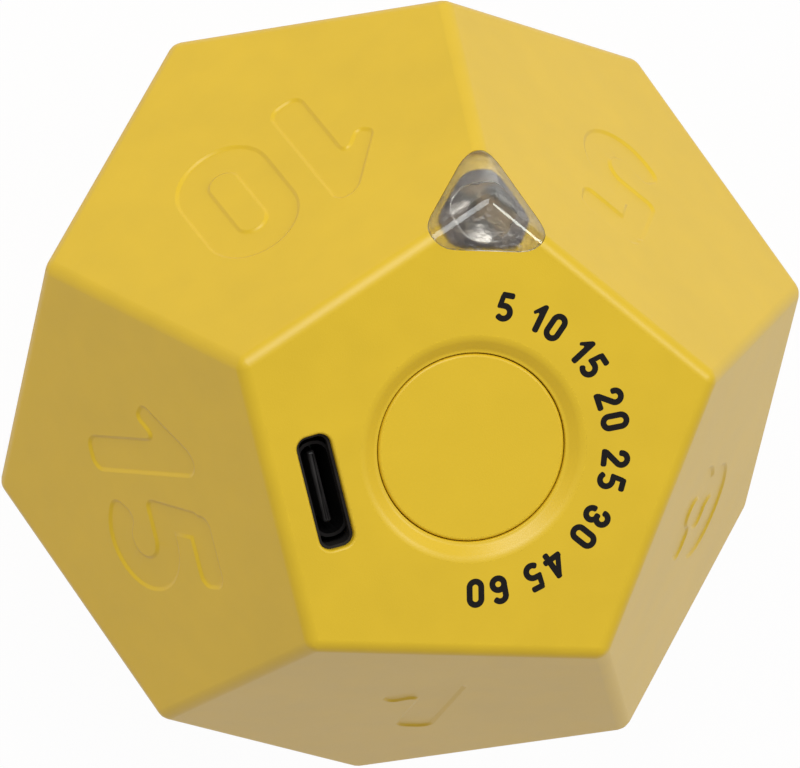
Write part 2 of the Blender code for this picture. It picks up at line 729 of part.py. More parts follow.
def upper_shell(shop, lap_pocket):
    """Six faces: first the shell itself, then what grows from it, then its openings."""
    form = twelve_sided(FACE_LEVEL, EDGE_ROUND)
    shell = shop.piece("upper_shell", to_mesh("upper_shell", form), shop.middle, "shell_plastic")
    shift = PARTING_GAP / 2 / parting_steepness()
    hollow = to_mesh("upper_hollow", upper_hollow())
    region = to_mesh("below_parting", half_region(-1, shift))
    combine(shell, shop.cutter("lens_pocket", to_mesh("lens_pocket", lens_prism(0)), shop.lens_axis))
    combine(shell, shop.cutter("upper_hollow", hollow, shop.middle))
    combine(shell, shop.cutter("below_parting", region, shop.middle))
    combine(shell, lap_pocket)
    weld(shell)
    grow_collar(shop, shell)
    grow_bosses(shop, shell)
    grow_sleeve(shop, shell)
    bore_button_seat(shop, shell)
    bore_sleeve(shop, shell)
    weld(shell)
    bore_bosses(shop, shell)
    cut_port(shop, shell)
    grooves = to_mesh("snap_grooves", snap_rods(SNAP_RADIUS + FIT_GAP, SNAP_LENGTH + 2 * FIT_GAP))
    combine(shell, shop.cutter("snap_grooves", grooves, shop.middle))
    numerals = to_mesh("upper_numerals", engraving(UPPER_NUMERALS, 1))
    combine(shell, shop.cutter("upper_numerals", numerals, shop.middle))
    weld(shell)


def grow_collar(shop, shell):
    """The collar that guides the button."""
    profile = [
        (COLLAR_RADIUS, JOIN_LEVEL), (COLLAR_RADIUS, COLLAR_END),
        (BORE_RADIUS - OVERRUN, COLLAR_END), (BORE_RADIUS - OVERRUN, JOIN_LEVEL),
    ]
    combine(shell, shop.turned_cutter("collar", profile, shop.button_axis, LARGE_STEPS), "UNION")


def grow_bosses(shop, shell):
    """Three posts that carry the board."""
    bosses = bmesh.new()
    for turn in BOSS_TURNS:
        middle = polar(BOSS_PLACE, turn, (JOIN_LEVEL + BOSS_END) / 2)
        add_cylinder(bosses, BOSS_RADIUS, JOIN_LEVEL - BOSS_END, Matrix.Translation(middle))
    combine(shell, shop.cutter("bosses", to_mesh("bosses", bosses), shop.middle), "UNION")


def bore_bosses(shop, shell):
    """Blind holes for the board's screws."""
    pilots = bmesh.new()
    depth = SCREW_LENGTH + OVERRUN
    for turn in BOSS_TURNS:
        middle = polar(BOSS_PLACE, turn, BOSS_END - OVERRUN + depth / 2)
        add_cylinder(pilots, SCREW_RADIUS + FIT_GAP, depth, Matrix.Translation(middle))
    combine(shell, shop.cutter("pilots", to_mesh("pilots", pilots), shop.middle))


def grow_sleeve(shop, shell):
    """The sleeve that holds the light behind the lens."""
    top = WEB_DISTANCE + OVERRUN / 2
    profile = [(0, top), (SLEEVE_RADIUS, top), (SLEEVE_RADIUS, SLEEVE_DISTANCE), (0, SLEEVE_DISTANCE)]
    combine(shell, shop.turned_cutter("sleeve", profile, shop.lens_axis), "UNION")


def bore_sleeve(shop, shell):
    """The hole through the sleeve and the web, into the lens pocket."""
    top = SEAT_DISTANCE + OVERRUN
    end = SLEEVE_DISTANCE - OVERRUN
    profile = [(0, top), (SLEEVE_BORE_RADIUS, top), (SLEEVE_BORE_RADIUS, end), (0, end)]
    combine(shell, shop.turned_cutter("sleeve_bore", profile, shop.lens_axis))


def bore_button_seat(shop, shell):
    """The dished seat round the button, and the bore below it."""
    seat_slope = (SEAT_RADIUS - BORE_RADIUS) / BUTTON_RECESS
    top = FACE_LEVEL + OVERRUN
    end = COLLAR_END - OVERRUN
    profile = [
        (0, top), (SEAT_RADIUS + OVERRUN * seat_slope, top), (BORE_RADIUS, CAP_LEVEL),
        (BORE_RADIUS, end), (0, end),
    ]
    combine(shell, shop.turned_cutter("button_bore", profile, shop.button_axis, LARGE_STEPS))


def cut_port(shop, shell):
    """The slot for the charging plug with its eased edge, and the room for the surround."""
    start = INNER_LEVEL - OVERRUN
    flare = OVERRUN + SLOT_EDGE_ROUND
    throat = rounded_rectangle(SLOT_LENGTH, SLOT_WIDTH, SLOT_CORNER_RADIUS)
    mouth = rounded_rectangle(SLOT_LENGTH + 2 * flare, SLOT_WIDTH + 2 * flare, SLOT_CORNER_RADIUS + flare)
    slot = lofted((throat, start), (throat, FACE_LEVEL - SLOT_EDGE_ROUND), (mouth, FACE_LEVEL + OVERRUN))
    combine(shell, shop.cutter("port_slot", to_mesh("port_slot", slot), shop.port_axis))
    outline = rounded_rectangle(SURROUND_LENGTH + 2 * FIT_GAP, SURROUND_WIDTH + 2 * FIT_GAP,
                                SURROUND_CORNER_RADIUS + FIT_GAP)
    room = lofted((outline, start), (outline, FACE_LEVEL - PORT_WALL))
    combine(shell, shop.cutter("port_room", to_mesh("port_room", room), shop.port_axis))


def lower_shell(shop, tongue):
    """The other six faces, with the tongue, its snap beads and the cell's frame."""
    form = twelve_sided(FACE_LEVEL, EDGE_ROUND)
    shell = shop.piece("lower_shell", to_mesh("lower_shell", form), shop.middle, "shell_plastic")
    shift = -PARTING_GAP / 2 / parting_steepness()
    region = to_mesh("above_parting", half_region(1, shift))
    combine(shell, shop.cutter("above_parting", region, shop.middle))
    combine(shell, tongue, "UNION")
    weld(shell)
    beads = to_mesh("snap_beads", snap_rods(SNAP_RADIUS, SNAP_LENGTH))
    combine(shell, shop.cutter("snap_beads", beads, shop.middle), "UNION")
    hollow = to_mesh("lower_hollow", twelve_sided(INNER_LEVEL))
    combine(shell, shop.cutter("lower_hollow", hollow, shop.middle))
    combine(shell, cell_frame(shop), "UNION")
    numerals = to_mesh("lower_numerals", engraving(LOWER_NUMERALS, -1))
    combine(shell, shop.cutter("lower_numerals", numerals, shop.middle))
    weld(shell)


def cell_frame(shop):
    """Four low walls that keep the cell in place, trimmed where they run into the shell's wall."""
    room_length = CELL_LENGTH + 2 * FIT_GAP
    room_width = CELL_WIDTH + 2 * FIT_GAP
    height = FRAME_HEIGHT + WALL
    wall = block(room_width + 2 * FRAME_WALL, room_length + 2 * FRAME_WALL, height)
    foot = (0, CELL_SHIFT, height / 2 - FACE_LEVEL)
    frame = shop.cutter("cell_frame", to_mesh("cell_frame", wall), shop.middle, foot)
    room = to_mesh("cell_room", block(room_width, room_length, height))
    combine(frame, shop.cutter("cell_room", room, shop.middle, (0, CELL_SHIFT, height / 2 - INNER_LEVEL)))
    trim = to_mesh("frame_trim", twelve_sided(JOIN_LEVEL))
    combine(frame, shop.cutter("frame_trim", trim, shop.middle), "INTERSECT")
    return frame


def rounded_rim(radius, level, rounding, steps):
    """Points down a quarter arc from a flat top to an outer side."""
    points = []
    for step in range(steps + 1):
        turn = QUARTER_TURN * (1 - step / steps)
        arc = polar(rounding, turn)
        points.append((radius - rounding + arc.x, level - rounding + arc.y))
    return points


def button_cap(shop):
    """Push button: rounded top, skirt with three spring hooks, and a stem that meets the switch."""
    skirt_bore = CAP_RADIUS - SKIRT_WALL
    profile = [(0, CAP_LEVEL), *rounded_rim(CAP_RADIUS, CAP_LEVEL, CAP_EDGE_ROUND, CAP_EDGE_STEPS)]
    profile += [
        (CAP_RADIUS, SKIRT_END), (skirt_bore, SKIRT_END), (skirt_bore, CAP_UNDERSIDE),
        (STEM_RADIUS, CAP_UNDERSIDE), (STEM_RADIUS, STEM_END), (0, STEM_END),
    ]
    cap = shop.turned_piece("button_cap", profile, shop.button_axis, "button_plastic", LARGE_STEPS)
    hook_root = CAP_RADIUS - SKIRT_WALL / 2
    hook_tip = BORE_RADIUS + HOOK_GRIP
    hook_middle = Vector(((hook_tip + hook_root) / 2, 0, SKIRT_END + HOOK_HEIGHT / 2))
    slit_width = 2 * (SKIRT_WALL + HOOK_GRIP)
    slit_level = SKIRT_END + (SLIT_LENGTH - OVERRUN) / 2
    hooks = bmesh.new()
    slits = bmesh.new()
    for index in range(HOOK_COUNT):
        facing = Matrix.Rotation(LENS_TURN + index * 2 * math.pi / HOOK_COUNT, 4, "Z")
        hook_place = facing @ Matrix.Translation(hook_middle)
        add_box(hooks, hook_tip - hook_root, HOOK_WIDTH + SLIT_WIDTH, HOOK_HEIGHT, hook_place)
        for side in (-1, 1):
            middle = Vector((CAP_RADIUS, side * (HOOK_WIDTH + SLIT_WIDTH) / 2, slit_level))
            slit_place = facing @ Matrix.Translation(middle)
            add_box(slits, slit_width, SLIT_WIDTH, SLIT_LENGTH + OVERRUN, slit_place)
    combine(cap, shop.cutter("hooks", to_mesh("hooks", hooks), shop.button_axis), "UNION")
    combine(cap, shop.cutter("slits", to_mesh("slits", slits), shop.button_axis))


def corner_lens(shop):
    """Clear corner: three facets flush with the faces round it, and a spigot behind."""
    form = lens_prism(FIT_GAP)
    lens = shop.piece("corner_lens", to_mesh("corner_lens", form), shop.lens_axis, "lens_plastic")
    outer_form = to_mesh("outer_form", twelve_sided(FACE_LEVEL, EDGE_ROUND))
    combine(lens, shop.cutter("outer_form", outer_form, shop.middle), "INTERSECT")
    top = SEAT_DISTANCE + OVERRUN
    end = SEAT_DISTANCE - LENS_SPIGOT
    profile = [(0, top), (LIGHT_RADIUS, top), (LIGHT_RADIUS, end), (0, end)]
    combine(lens, shop.turned_cutter("lens_spigot", profile, shop.lens_axis), "UNION")


def light(shop):
    """Light-emitting diode: a domed body with a flange, and two legs down to the board."""
    tip = FLANGE_DISTANCE + LIGHT_LENGTH
    back = FLANGE_DISTANCE - LIGHT_FLANGE_THICKNESS
    rim = LIGHT_RADIUS + LIGHT_FLANGE_WIDTH
    profile = rounded_rim(LIGHT_RADIUS, tip, LIGHT_RADIUS, DOME_STEPS)
    profile[0] = (0, tip)
    profile += [(LIGHT_RADIUS, FLANGE_DISTANCE), (rim, FLANGE_DISTANCE), (rim, back), (0, back)]
    shop.turned_piece("light", profile, shop.lens_axis, "light_resin")
    for name, side in (("light_leg_left", -1), ("light_leg_right", 1)):
        sideways = Vector((side * LEG_SPACING / 2, 0, 0))
        root = LENS_DIRECTION * LEGS_DISTANCE + sideways
        knee = LENS_DIRECTION * (LEGS_DISTANCE - LEG_STRAIGHT) + sideways
        hole = sideways + Vector((0, LEG_HOLE_PLACE, BOARD_TOP))
        foot = sideways + Vector((0, LEG_HOLE_PLACE, BOARD_UNDERSIDE - LEG_REACH))
        shop.wire(name, through([root, knee, hole, foot], LEG_STEPS), LEG_RADIUS, "leg_metal")


def main_board(shop):
    """Five-sided circuit board, cut short at the lens, with holes for screws and legs."""
    corners = polygon(SIDES, BOARD_APOTHEM)
    half_width = (corners[0].y - BOARD_LENS_EDGE) / math.tan(FIFTH_TURN / 2)
    corners[0:1] = [Vector((half_width, BOARD_LENS_EDGE)), Vector((-half_width, BOARD_LENS_EDGE))]
    outline = rounded_outline(corners, BOARD_CORNER_RADIUS)
    form = lofted((outline, BOARD_UNDERSIDE), (outline, BOARD_TOP))
    board = shop.piece("main_board", to_mesh("main_board", form), shop.middle, "board_laminate")
    holes = bmesh.new()
    depth = BOARD_THICKNESS + 2 * OVERRUN
    level = (BOARD_TOP + BOARD_UNDERSIDE) / 2
    for turn in BOSS_TURNS:
        middle = polar(BOSS_PLACE, turn, level)
        add_cylinder(holes, SCREW_RADIUS + FIT_GAP, depth, Matrix.Translation(middle))
    for side in (-1, 1):
        middle = Vector((side * LEG_SPACING / 2, LEG_HOLE_PLACE, level))
        add_cylinder(holes, LEG_HOLE_RADIUS, depth, Matrix.Translation(middle))
    combine(board, shop.cutter("board_holes", to_mesh("board_holes", holes), shop.middle))


def charging_socket(shop):
    """Metal shell of the socket, on the board under the slot, and the tongue inside it."""
    outline = rounded_rectangle(SOCKET_LENGTH, SOCKET_WIDTH, SOCKET_CORNER_RADIUS)
    form = lofted((outline, BOSS_END), (outline, SOCKET_TOP))
    shell = shop.piece("socket_shell", to_mesh("socket_shell", form), shop.port_axis, "socket_metal")
    inner = rounded_rectangle(SOCKET_LENGTH - 2 * SOCKET_METAL, SOCKET_WIDTH - 2 * SOCKET_METAL,
                              SOCKET_CORNER_RADIUS - SOCKET_METAL)
    room = lofted((inner, BOSS_END - OVERRUN), (inner, SOCKET_TOP + OVERRUN))
    combine(shell, shop.cutter("socket_room", to_mesh("socket_room", room), shop.port_axis))
    inset = SOCKET_METAL + FIT_GAP
    base = rounded_rectangle(SOCKET_LENGTH - 2 * inset, SOCKET_WIDTH - 2 * inset,
                             SOCKET_CORNER_RADIUS - inset)
    base_top = BOSS_END + TONGUE_BASE
    blade = rounded_rectangle(TONGUE_LENGTH, TONGUE_THICKNESS, TONGUE_CORNER_RADIUS)
    blade_top = SOCKET_TOP - TONGUE_RECESS
    form = lofted((base, BOSS_END), (base, base_top), (blade, base_top), (blade, blade_top))
    shop.piece("socket_tongue", to_mesh("socket_tongue", form), shop.port_axis, "tongue_plastic")


def port_surround(shop):
    """Black ring round the mouth of the socket, under the slot."""
    outline = rounded_rectangle(SURROUND_LENGTH, SURROUND_WIDTH, SURROUND_CORNER_RADIUS)
    form = lofted((outline, SURROUND_END), (outline, SURROUND_TOP))
    ring = shop.piece("port_surround", to_mesh("port_surround", form), shop.port_axis, "surround_rubber")
    hole = rounded_rectangle(SOCKET_LENGTH + 2 * FIT_GAP, SOCKET_WIDTH + 2 * FIT_GAP,
                             SOCKET_CORNER_RADIUS + FIT_GAP)
    room = lofted((hole, SURROUND_END - OVERRUN), (hole, SURROUND_TOP + OVERRUN))
    combine(ring, shop.cutter("surround_hole", to_mesh("surround_hole", room), shop.port_axis))


def push_switch(shop):
    """Switch under the button: body, metal cover, and the plunger that moves with the button."""
    top = COVER_TOP + OVERRUN
    well_radius = PLUNGER_RADIUS + FIT_GAP
    well_floor = PLUNGER_END - BUTTON_TRAVEL - FIT_GAP
    profile = [(0, top), (well_radius, top), (well_radius, well_floor), (0, well_floor)]
    well = shop.turned_cutter("switch_well", profile, shop.middle)
    form = block(SWITCH_SIZE, SWITCH_SIZE, SWITCH_HEIGHT, SMALL_EDGE)
    body = shop.piece("switch_body", to_mesh("switch_body", form), shop.middle, "switch_plastic",
                      (0, 0, SWITCH_BASE + SWITCH_HEIGHT / 2))
    combine(body, well)
    form = block(SWITCH_SIZE, SWITCH_SIZE, SWITCH_COVER)
    cover = shop.piece("switch_cover", to_mesh("switch_cover", form), shop.middle, "switch_steel",
                       (0, 0, COVER_TOP - SWITCH_COVER / 2))
    combine(cover, well)
    profile = [
        (0, PLUNGER_TOP), (PLUNGER_RADIUS - SMALL_EDGE, PLUNGER_TOP),
        (PLUNGER_RADIUS, PLUNGER_TOP - SMALL_EDGE), (PLUNGER_RADIUS, PLUNGER_END), (0, PLUNGER_END),
    ]
    shop.turned_piece("switch_plunger", profile, shop.button_axis, "switch_plastic", SMALL_STEPS)


def board_screws(shop):
    """Three pan-head screws that hold the board against the bosses from below."""
    tip = UNDERSIDE_SEAT + SCREW_LENGTH
    end = UNDERSIDE_SEAT - SCREW_HEAD_HEIGHT
    half_head = SCREW_HEAD_HEIGHT / 2
    profile = [
        (0, tip), (SCREW_RADIUS / 2, tip), (SCREW_RADIUS, tip - SCREW_RADIUS),
        (SCREW_RADIUS, UNDERSIDE_SEAT), (SCREW_HEAD_RADIUS, UNDERSIDE_SEAT),
        (SCREW_HEAD_RADIUS, end + half_head), (SCREW_HEAD_RADIUS - half_head, end),
        (SCREW_RECESS_RADIUS, end), (0, end + SCREW_RECESS_DEPTH),
    ]
    for index, turn in enumerate(BOSS_TURNS):
        name = f"board_screw_{index + 1}"
        shop.turned_piece(name, profile, shop.middle, "screw_steel", SMALL_STEPS, polar(BOSS_PLACE, turn))


def chip(shop, name, size, spot, leg_counts=(0, 0)):
    """A chip under the board, with this many legs along each X side and each Y side."""
    length, width, height = size
    form = block(length, width, height, SMALL_EDGE)
    body = shop.piece(name, to_mesh(name, form), shop.middle, "chip_resin",
                      (*spot, UNDERSIDE_SEAT - height / 2))
    legs = bmesh.new()
    leg_level = -SMALL_EDGE - CHIP_LEG_THICKNESS / 2
    for count, span, reach, turn in (
        (leg_counts[0], length, width / 2, 0),
        (leg_counts[1], width, length / 2, QUARTER_TURN),
    ):
        facing = Matrix.Rotation(turn, 4, "Z")
        for index in range(count):
            along = ((index + 0.5) / count - 0.5) * span * LEG_PITCH_SHARE
            for side in (-1, 1):
                leg_place = facing @ Matrix.Translation((along, side * reach, leg_level))
                add_box(legs, CHIP_LEG_WIDTH, 2 * CHIP_LEG_REACH, CHIP_LEG_THICKNESS, leg_place)
    leg_mesh = to_mesh(f"{name}_legs", legs)
    if leg_mesh.vertices:
        combine(body, shop.cutter(leg_mesh.name, leg_mesh, shop.middle, (*spot, UNDERSIDE_SEAT)), "UNION")


def watch_crystal(shop):
    """Watch crystal: a small can that lies along the board."""
    half = CRYSTAL_LENGTH / 2
    spot = (*CRYSTAL_PLACE, UNDERSIDE_SEAT - CRYSTAL_RADIUS)
    profile = [
        (0, half), (CRYSTAL_RADIUS - SMALL_EDGE, half), (CRYSTAL_RADIUS, half - SMALL_EDGE),
        (CRYSTAL_RADIUS, -half), (0, -half),
    ]
    can = shop.turned_piece("watch_crystal", profile, shop.middle, "crystal_steel", SMALL_STEPS, spot)
    can.rotation_euler.x = QUARTER_TURN


def buzzer(shop):
    """Round sounder under the board, with its sound hole facing down."""
    end = UNDERSIDE_SEAT - BUZZER_HEIGHT
    hole_end = end + BUZZER_HOLE_DEPTH
    profile = [
        (0, UNDERSIDE_SEAT), (BUZZER_RADIUS, UNDERSIDE_SEAT), (BUZZER_RADIUS, end + BUZZER_EDGE),
        (BUZZER_RADIUS - BUZZER_EDGE, end), (BUZZER_HOLE_RADIUS, end),
        (BUZZER_HOLE_RADIUS, hole_end), (0, hole_end),
    ]
    spot = (*BUZZER_PLACE, 0)
    shop.turned_piece("buzzer", profile, shop.middle, "buzzer_plastic", MEDIUM_STEPS, spot)


def battery_cell(shop):
    """Pouch cell on a foam pad, with the narrower ledge that its leads come from."""
    form = block(CELL_WIDTH - 2 * PAD_MARGIN, CELL_LENGTH - 2 * PAD_MARGIN, PAD_THICKNESS)
    shop.piece("cell_pad", to_mesh("cell_pad", form), shop.middle, "pad_foam",
               (0, CELL_SHIFT, PAD_BASE + PAD_THICKNESS / 2))
    pouch_length = CELL_LENGTH - CELL_LEDGE_LENGTH
    level = CELL_BASE + CELL_THICKNESS / 2
    form = block(CELL_WIDTH, pouch_length, CELL_THICKNESS, CELL_EDGE_ROUND)
    cell = shop.piece("battery_cell", to_mesh("battery_cell", form), shop.middle, "cell_foil",
                      (0, CELL_SHIFT - CELL_LEDGE_LENGTH / 2, level))
    form = block(CELL_WIDTH - 2 * CELL_EDGE_ROUND, 2 * CELL_LEDGE_LENGTH, CELL_LEDGE_THICKNESS, SMALL_EDGE)
    ledge_place = (0, CELL_SHIFT + pouch_length / 2 - CELL_LEDGE_LENGTH / 2, level)
    combine(cell, shop.cutter("cell_ledge", to_mesh("cell_ledge", form), shop.middle, ledge_place), "UNION")


def battery_plug(shop):
    """The jack under the board, the plug in it, and the two leads down to the cell."""
    form = block(JACK_LENGTH, JACK_WIDTH, JACK_HEIGHT, SMALL_EDGE)
    jack = shop.piece("battery_jack", to_mesh("battery_jack", form), shop.middle, "jack_plastic",
                      (*JACK_PLACE, UNDERSIDE_SEAT - JACK_HEIGHT / 2))
    room_length = JACK_LENGTH - 2 * JACK_WALL
    room_width = JACK_WIDTH - 2 * JACK_WALL
    room_top = UNDERSIDE_SEAT - JACK_FLOOR
    room = to_mesh("jack_room", block(room_length, room_width, JACK_HEIGHT))
    combine(jack, shop.cutter("jack_room", room, shop.middle, (*JACK_PLACE, room_top - JACK_HEIGHT / 2)))
    plug_top = room_top - FIT_GAP
    plug_end = UNDERSIDE_SEAT - JACK_HEIGHT - PLUG_REACH
    form = block(room_length - 2 * FIT_GAP, room_width - 2 * FIT_GAP, plug_top - plug_end, SMALL_EDGE)
    shop.piece("battery_plug", to_mesh("battery_plug", form), shop.middle, "jack_plastic",
               (*JACK_PLACE, (plug_top + plug_end) / 2))
    leads(shop, plug_end - FIT_GAP)


def leads(shop, plug_level):
    """Two insulated wires from the cell's ledge up to the plug."""
    ledge_top = CELL_BASE + (CELL_THICKNESS + CELL_LEDGE_THICKNESS) / 2
    ledge_middle = CELL_SHIFT + (CELL_LENGTH - CELL_LEDGE_LENGTH) / 2
    rise = Vector((0, 0, LEAD_SLACK))
    sideways = Vector((-LEAD_SLACK, 0, 0))
    for name, finish, side in (("lead_red", "red_sleeve", 1), ("lead_black", "black_sleeve", -1)):
        offset = side * LEAD_SPACING / 2
        start = Vector((offset, ledge_middle, ledge_top + FIT_GAP))
        end = Vector((JACK_PLACE[0] + offset, JACK_PLACE[1], plug_level))
        route = [start, start + rise, (start + end) / 2 + sideways, end - rise, end]
        shop.wire(name, through(route, LEAD_STEPS), LEAD_RADIUS, finish)


def build():
    """The whole timer."""
    for item in list(bpy.data.objects):
        bpy.data.objects.remove(item)
    shop = Workshop()
    tongue, lap_pocket = lap_solids(shop)
    upper_shell(shop, lap_pocket)
    lower_shell(shop, tongue)
    button_cap(shop)
    corner_lens(shop)
    light(shop)
    main_board(shop)
    charging_socket(shop)
    port_surround(shop)
    push_switch(shop)
    board_screws(shop)
    processor_size = (PROCESSOR_SIZE, PROCESSOR_SIZE, PROCESSOR_HEIGHT)
    charger_size = (CHARGER_LENGTH, CHARGER_WIDTH, CHARGER_HEIGHT)
    sensor_size = (SENSOR_SIZE, SENSOR_SIZE, SENSOR_HEIGHT)
    chip(shop, "processor_chip", processor_size, PROCESSOR_PLACE, (PROCESSOR_LEGS, PROCESSOR_LEGS))
    chip(shop, "charge_chip", charger_size, CHARGER_PLACE, (CHARGER_LEGS, 0))
    chip(shop, "tilt_sensor", sensor_size, SENSOR_PLACE)
    watch_crystal(shop)
    buzzer(shop)
    battery_cell(shop)
    battery_plug(shop)


build()
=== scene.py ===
"""Looks of the twelve-sided flip timer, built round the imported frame.

Metres, +Z up, in the frame's own axes: the timer stands on the face opposite the button. Values
named "level" are heights above the middle of the solid, and values named "distance" run from
that middle along the lens axis, as in the CAD source.
"""

import math

import bmesh
import bpy
from mathutils import Matrix, Vector


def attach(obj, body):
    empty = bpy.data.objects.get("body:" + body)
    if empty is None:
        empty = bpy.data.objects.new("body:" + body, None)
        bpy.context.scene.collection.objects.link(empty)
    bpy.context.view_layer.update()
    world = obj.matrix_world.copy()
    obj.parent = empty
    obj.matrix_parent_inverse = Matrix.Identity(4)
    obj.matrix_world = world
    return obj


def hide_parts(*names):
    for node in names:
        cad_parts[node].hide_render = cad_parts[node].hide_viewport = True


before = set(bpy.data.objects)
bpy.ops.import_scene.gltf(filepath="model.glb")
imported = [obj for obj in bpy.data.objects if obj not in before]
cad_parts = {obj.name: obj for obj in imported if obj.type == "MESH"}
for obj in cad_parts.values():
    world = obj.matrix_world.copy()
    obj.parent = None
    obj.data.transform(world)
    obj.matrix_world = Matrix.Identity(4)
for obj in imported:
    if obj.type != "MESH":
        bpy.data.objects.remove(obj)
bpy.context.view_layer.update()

# Outer form
ACROSS_FLATS = 0.0600
EDGE_ROUND = 0.0015
WALL = 0.0024

# Clearances
FIT_GAP = 0.0003
OVERRUN = 0.0010
MERGE_DISTANCE = 0.000001
WELD_DISTANCE = 0.000005

# Lap joint along the zigzag of edges where the two shells meet
PARTING_GAP = 0.00006
LAP_REACH = 0.0020
LAP_SKIN = 0.0011

# Button, its dished seat and the collar that guides it
BORE_RADIUS = 0.00857
SEAT_RADIUS = 0.01000
SEAT_ROLL = 0.0014
SEAT_FLOOR = 0.0003
SEAT_FLOOR_ROLL = 0.0006
SEAT_FLOOR_RISE = 0.00003
SEAT_RUNOUT = 0.0030
SEAT_RUNOUT_RISE = 0.00003
BORE_EDGE_ROUND = 0.0003
BUTTON_GAP = 0.00008
BUTTON_RECESS = 0.0008
CAP_THICKNESS = 0.0016
CAP_EDGE_ROUND = 0.0003
SKIRT_WALL = 0.0012
COLLAR_WALL = 0.00168
COLLAR_LENGTH = 0.0034
STEM_RADIUS = 0.0020
HOOK_GRIP = 0.0005
HOOK_HEIGHT = 0.0010
HOOK_WIDTH = 0.0034
SLIT_WIDTH = 0.0007
SLIT_LENGTH = 0.0032
PLUNGER_TOP = 0.0252

# Corner lens, the pocket it sits in and the sleeve behind it
LENS_APOTHEM = 0.00397
LENS_CORNER_RADIUS = 0.00227
LENS_RIDGE_ROUND = 0.0015
LENS_GAP = 0.00005
LENS_SEAT_DEPTH = 0.0042
LENS_SPIGOT = 0.0006
WALL_BAND = 0.00006
CORNER_WEB_DEPTH = 0.0054
SLEEVE_BORE_RADIUS = 0.0028
SLEEVE_WALL = 0.0014

# Light
LIGHT_LENGTH = 0.0044
LIGHT_FLANGE_THICKNESS = 0.0010
LIGHT_FLANGE_WIDTH = 0.0004
DOME_SHARE = 0.97
DOME_STEPS = 16
LEG_SPACING = 0.00254
FRAME_POST = 0.0006
FRAME_INSET = 0.0003
CUP_RADIUS = 0.00105
CUP_FLOOR_RADIUS = 0.0005
CUP_RIM = 0.0001
CUP_DEPTH = 0.0006
CUP_LEVEL = 0.0024
SHIELD_APOTHEM = 0.00285
SHIELD_CORNER_RADIUS = 0.0020
SHIELD_THICKNESS = 0.0002
SHIELD_WALL = 0.0002
SHIELD_GAP = 0.00004
# Painted light on the bore of the shield round the light: pale cream deeper in, kept grey near its mouth as
# painted shade over its lit rim
BORE_PAINTED_LIGHT_START = 0.00002
BORE_PAINTED_LIGHT_END = 0.00006
BORE_PAINTED_LIGHT_DEPTH = 0.0004

# Charging port
SLOT_LENGTH = 0.0106
SLOT_WIDTH = 0.0032
SLOT_CORNER_RADIUS = 0.0011
SLOT_EDGE_ROUND = 0.0003
HOLE_DRAFT = 0.00002
LIP_GAP = 0.00003
LIP_WALL = 0.00025
LIP_RECESS = 0.0007
LIP_ROOT = 0.0002
PORT_OUTWARD_SHIFT = 0.0002
PORT_WALL = 0.0012
SURROUND_LENGTH = 0.0126
SURROUND_WIDTH = 0.0048
SURROUND_HEIGHT = 0.0020
SURROUND_CORNER_RADIUS = 0.0012
SOCKET_LENGTH = 0.00894
SOCKET_WIDTH = 0.00316
SOCKET_CORNER_RADIUS = 0.00143
SOCKET_METAL = 0.0003
SOCKET_RECESS = 0.0003
TONGUE_LENGTH = 0.0067
TONGUE_THICKNESS = 0.0007
TONGUE_CORNER_RADIUS = 0.0002
TONGUE_RECESS = 0.0009
TONGUE_BASE = 0.0015
TONGUE_EDGE = 0.0003

# Bosses for the board
BOARD_DEPTH = 0.0100
BOARD_MARGIN = 0.0010
BOSS_RADIUS = 0.0024
BOSS_INSET = 0.0070
SCREW_RADIUS = 0.0009
SCREW_LENGTH = 0.0060

# Frame for the cell
CELL_LENGTH = 0.0250
CELL_WIDTH = 0.0200
CELL_SHIFT = 0.0018
FRAME_WALL = 0.0012
FRAME_HEIGHT = 0.0050

# Engraved numerals, and the printed ones in an arc round the button
NUMERAL_HEIGHT = 0.0150
NUMERAL_GAP_SHARE = 0.169
NUMERAL_DEPTH = 0.0002
NUMERAL_SLOPE = 0.00045
NUMERAL_LIFT = 0.0003
SLOPE_STEPS = 8
RIM_LIFT = 0.000005
STROKE_STAGGER = 0.01
STROKE_MERGE = 0.005
RIBBON_MERGE_SHARE = 0.01
STROKE_SHARE = 0.205
STROKE_CORNER_SHARE = 0.075
UPPER_NUMERALS = ("10", "15", "1", "3", "5")
LOWER_NUMERALS = ("30", "45", "60", "20", "25")
PRINT_NUMERALS = ("5", "10", "15", "20", "25", "30", "45", "60")
PRINT_HEIGHT = 0.00267
PRINT_RADIUS = 0.01176
PRINT_START = math.radians(85)
PRINT_SWEEP = math.radians(174)
PRINT_GAP_SHARE = 0.13
PRINT_ROOT = 0.00002
PRINT_RISE = 0.00001

# Shape of a regular twelve-sided solid, as shares of its edge
SIDES = 5
FIFTH_TURN = 2 * math.pi / SIDES
QUARTER_TURN = math.pi / 2
THIRD_TURN = 2 * math.pi / 3
GOLDEN_SHARE = (1 + math.sqrt(5)) / 2
FACE_CIRCLE_SHARE = 1 / (2 * math.sin(FIFTH_TURN / 2))
INRADIUS_SHARE = GOLDEN_SHARE ** 2 / (2 * math.sqrt(3 - GOLDEN_SHARE))
SIDE_RISE_SHARE = 1 / math.sqrt(5)
SIDE_OUT_SHARE = 2 / math.sqrt(5)
FLAT_ANGLE = math.radians(1)
REGION_SHARE = 1.25

# Turns about +Z, from +X
LENS_TURN = QUARTER_TURN
PORT_TURN = LENS_TURN + FIFTH_TURN + FIFTH_TURN / 2
BOSS_TURNS = (PORT_TURN - FIFTH_TURN / 2, PORT_TURN + FIFTH_TURN / 2, PORT_TURN + math.pi)

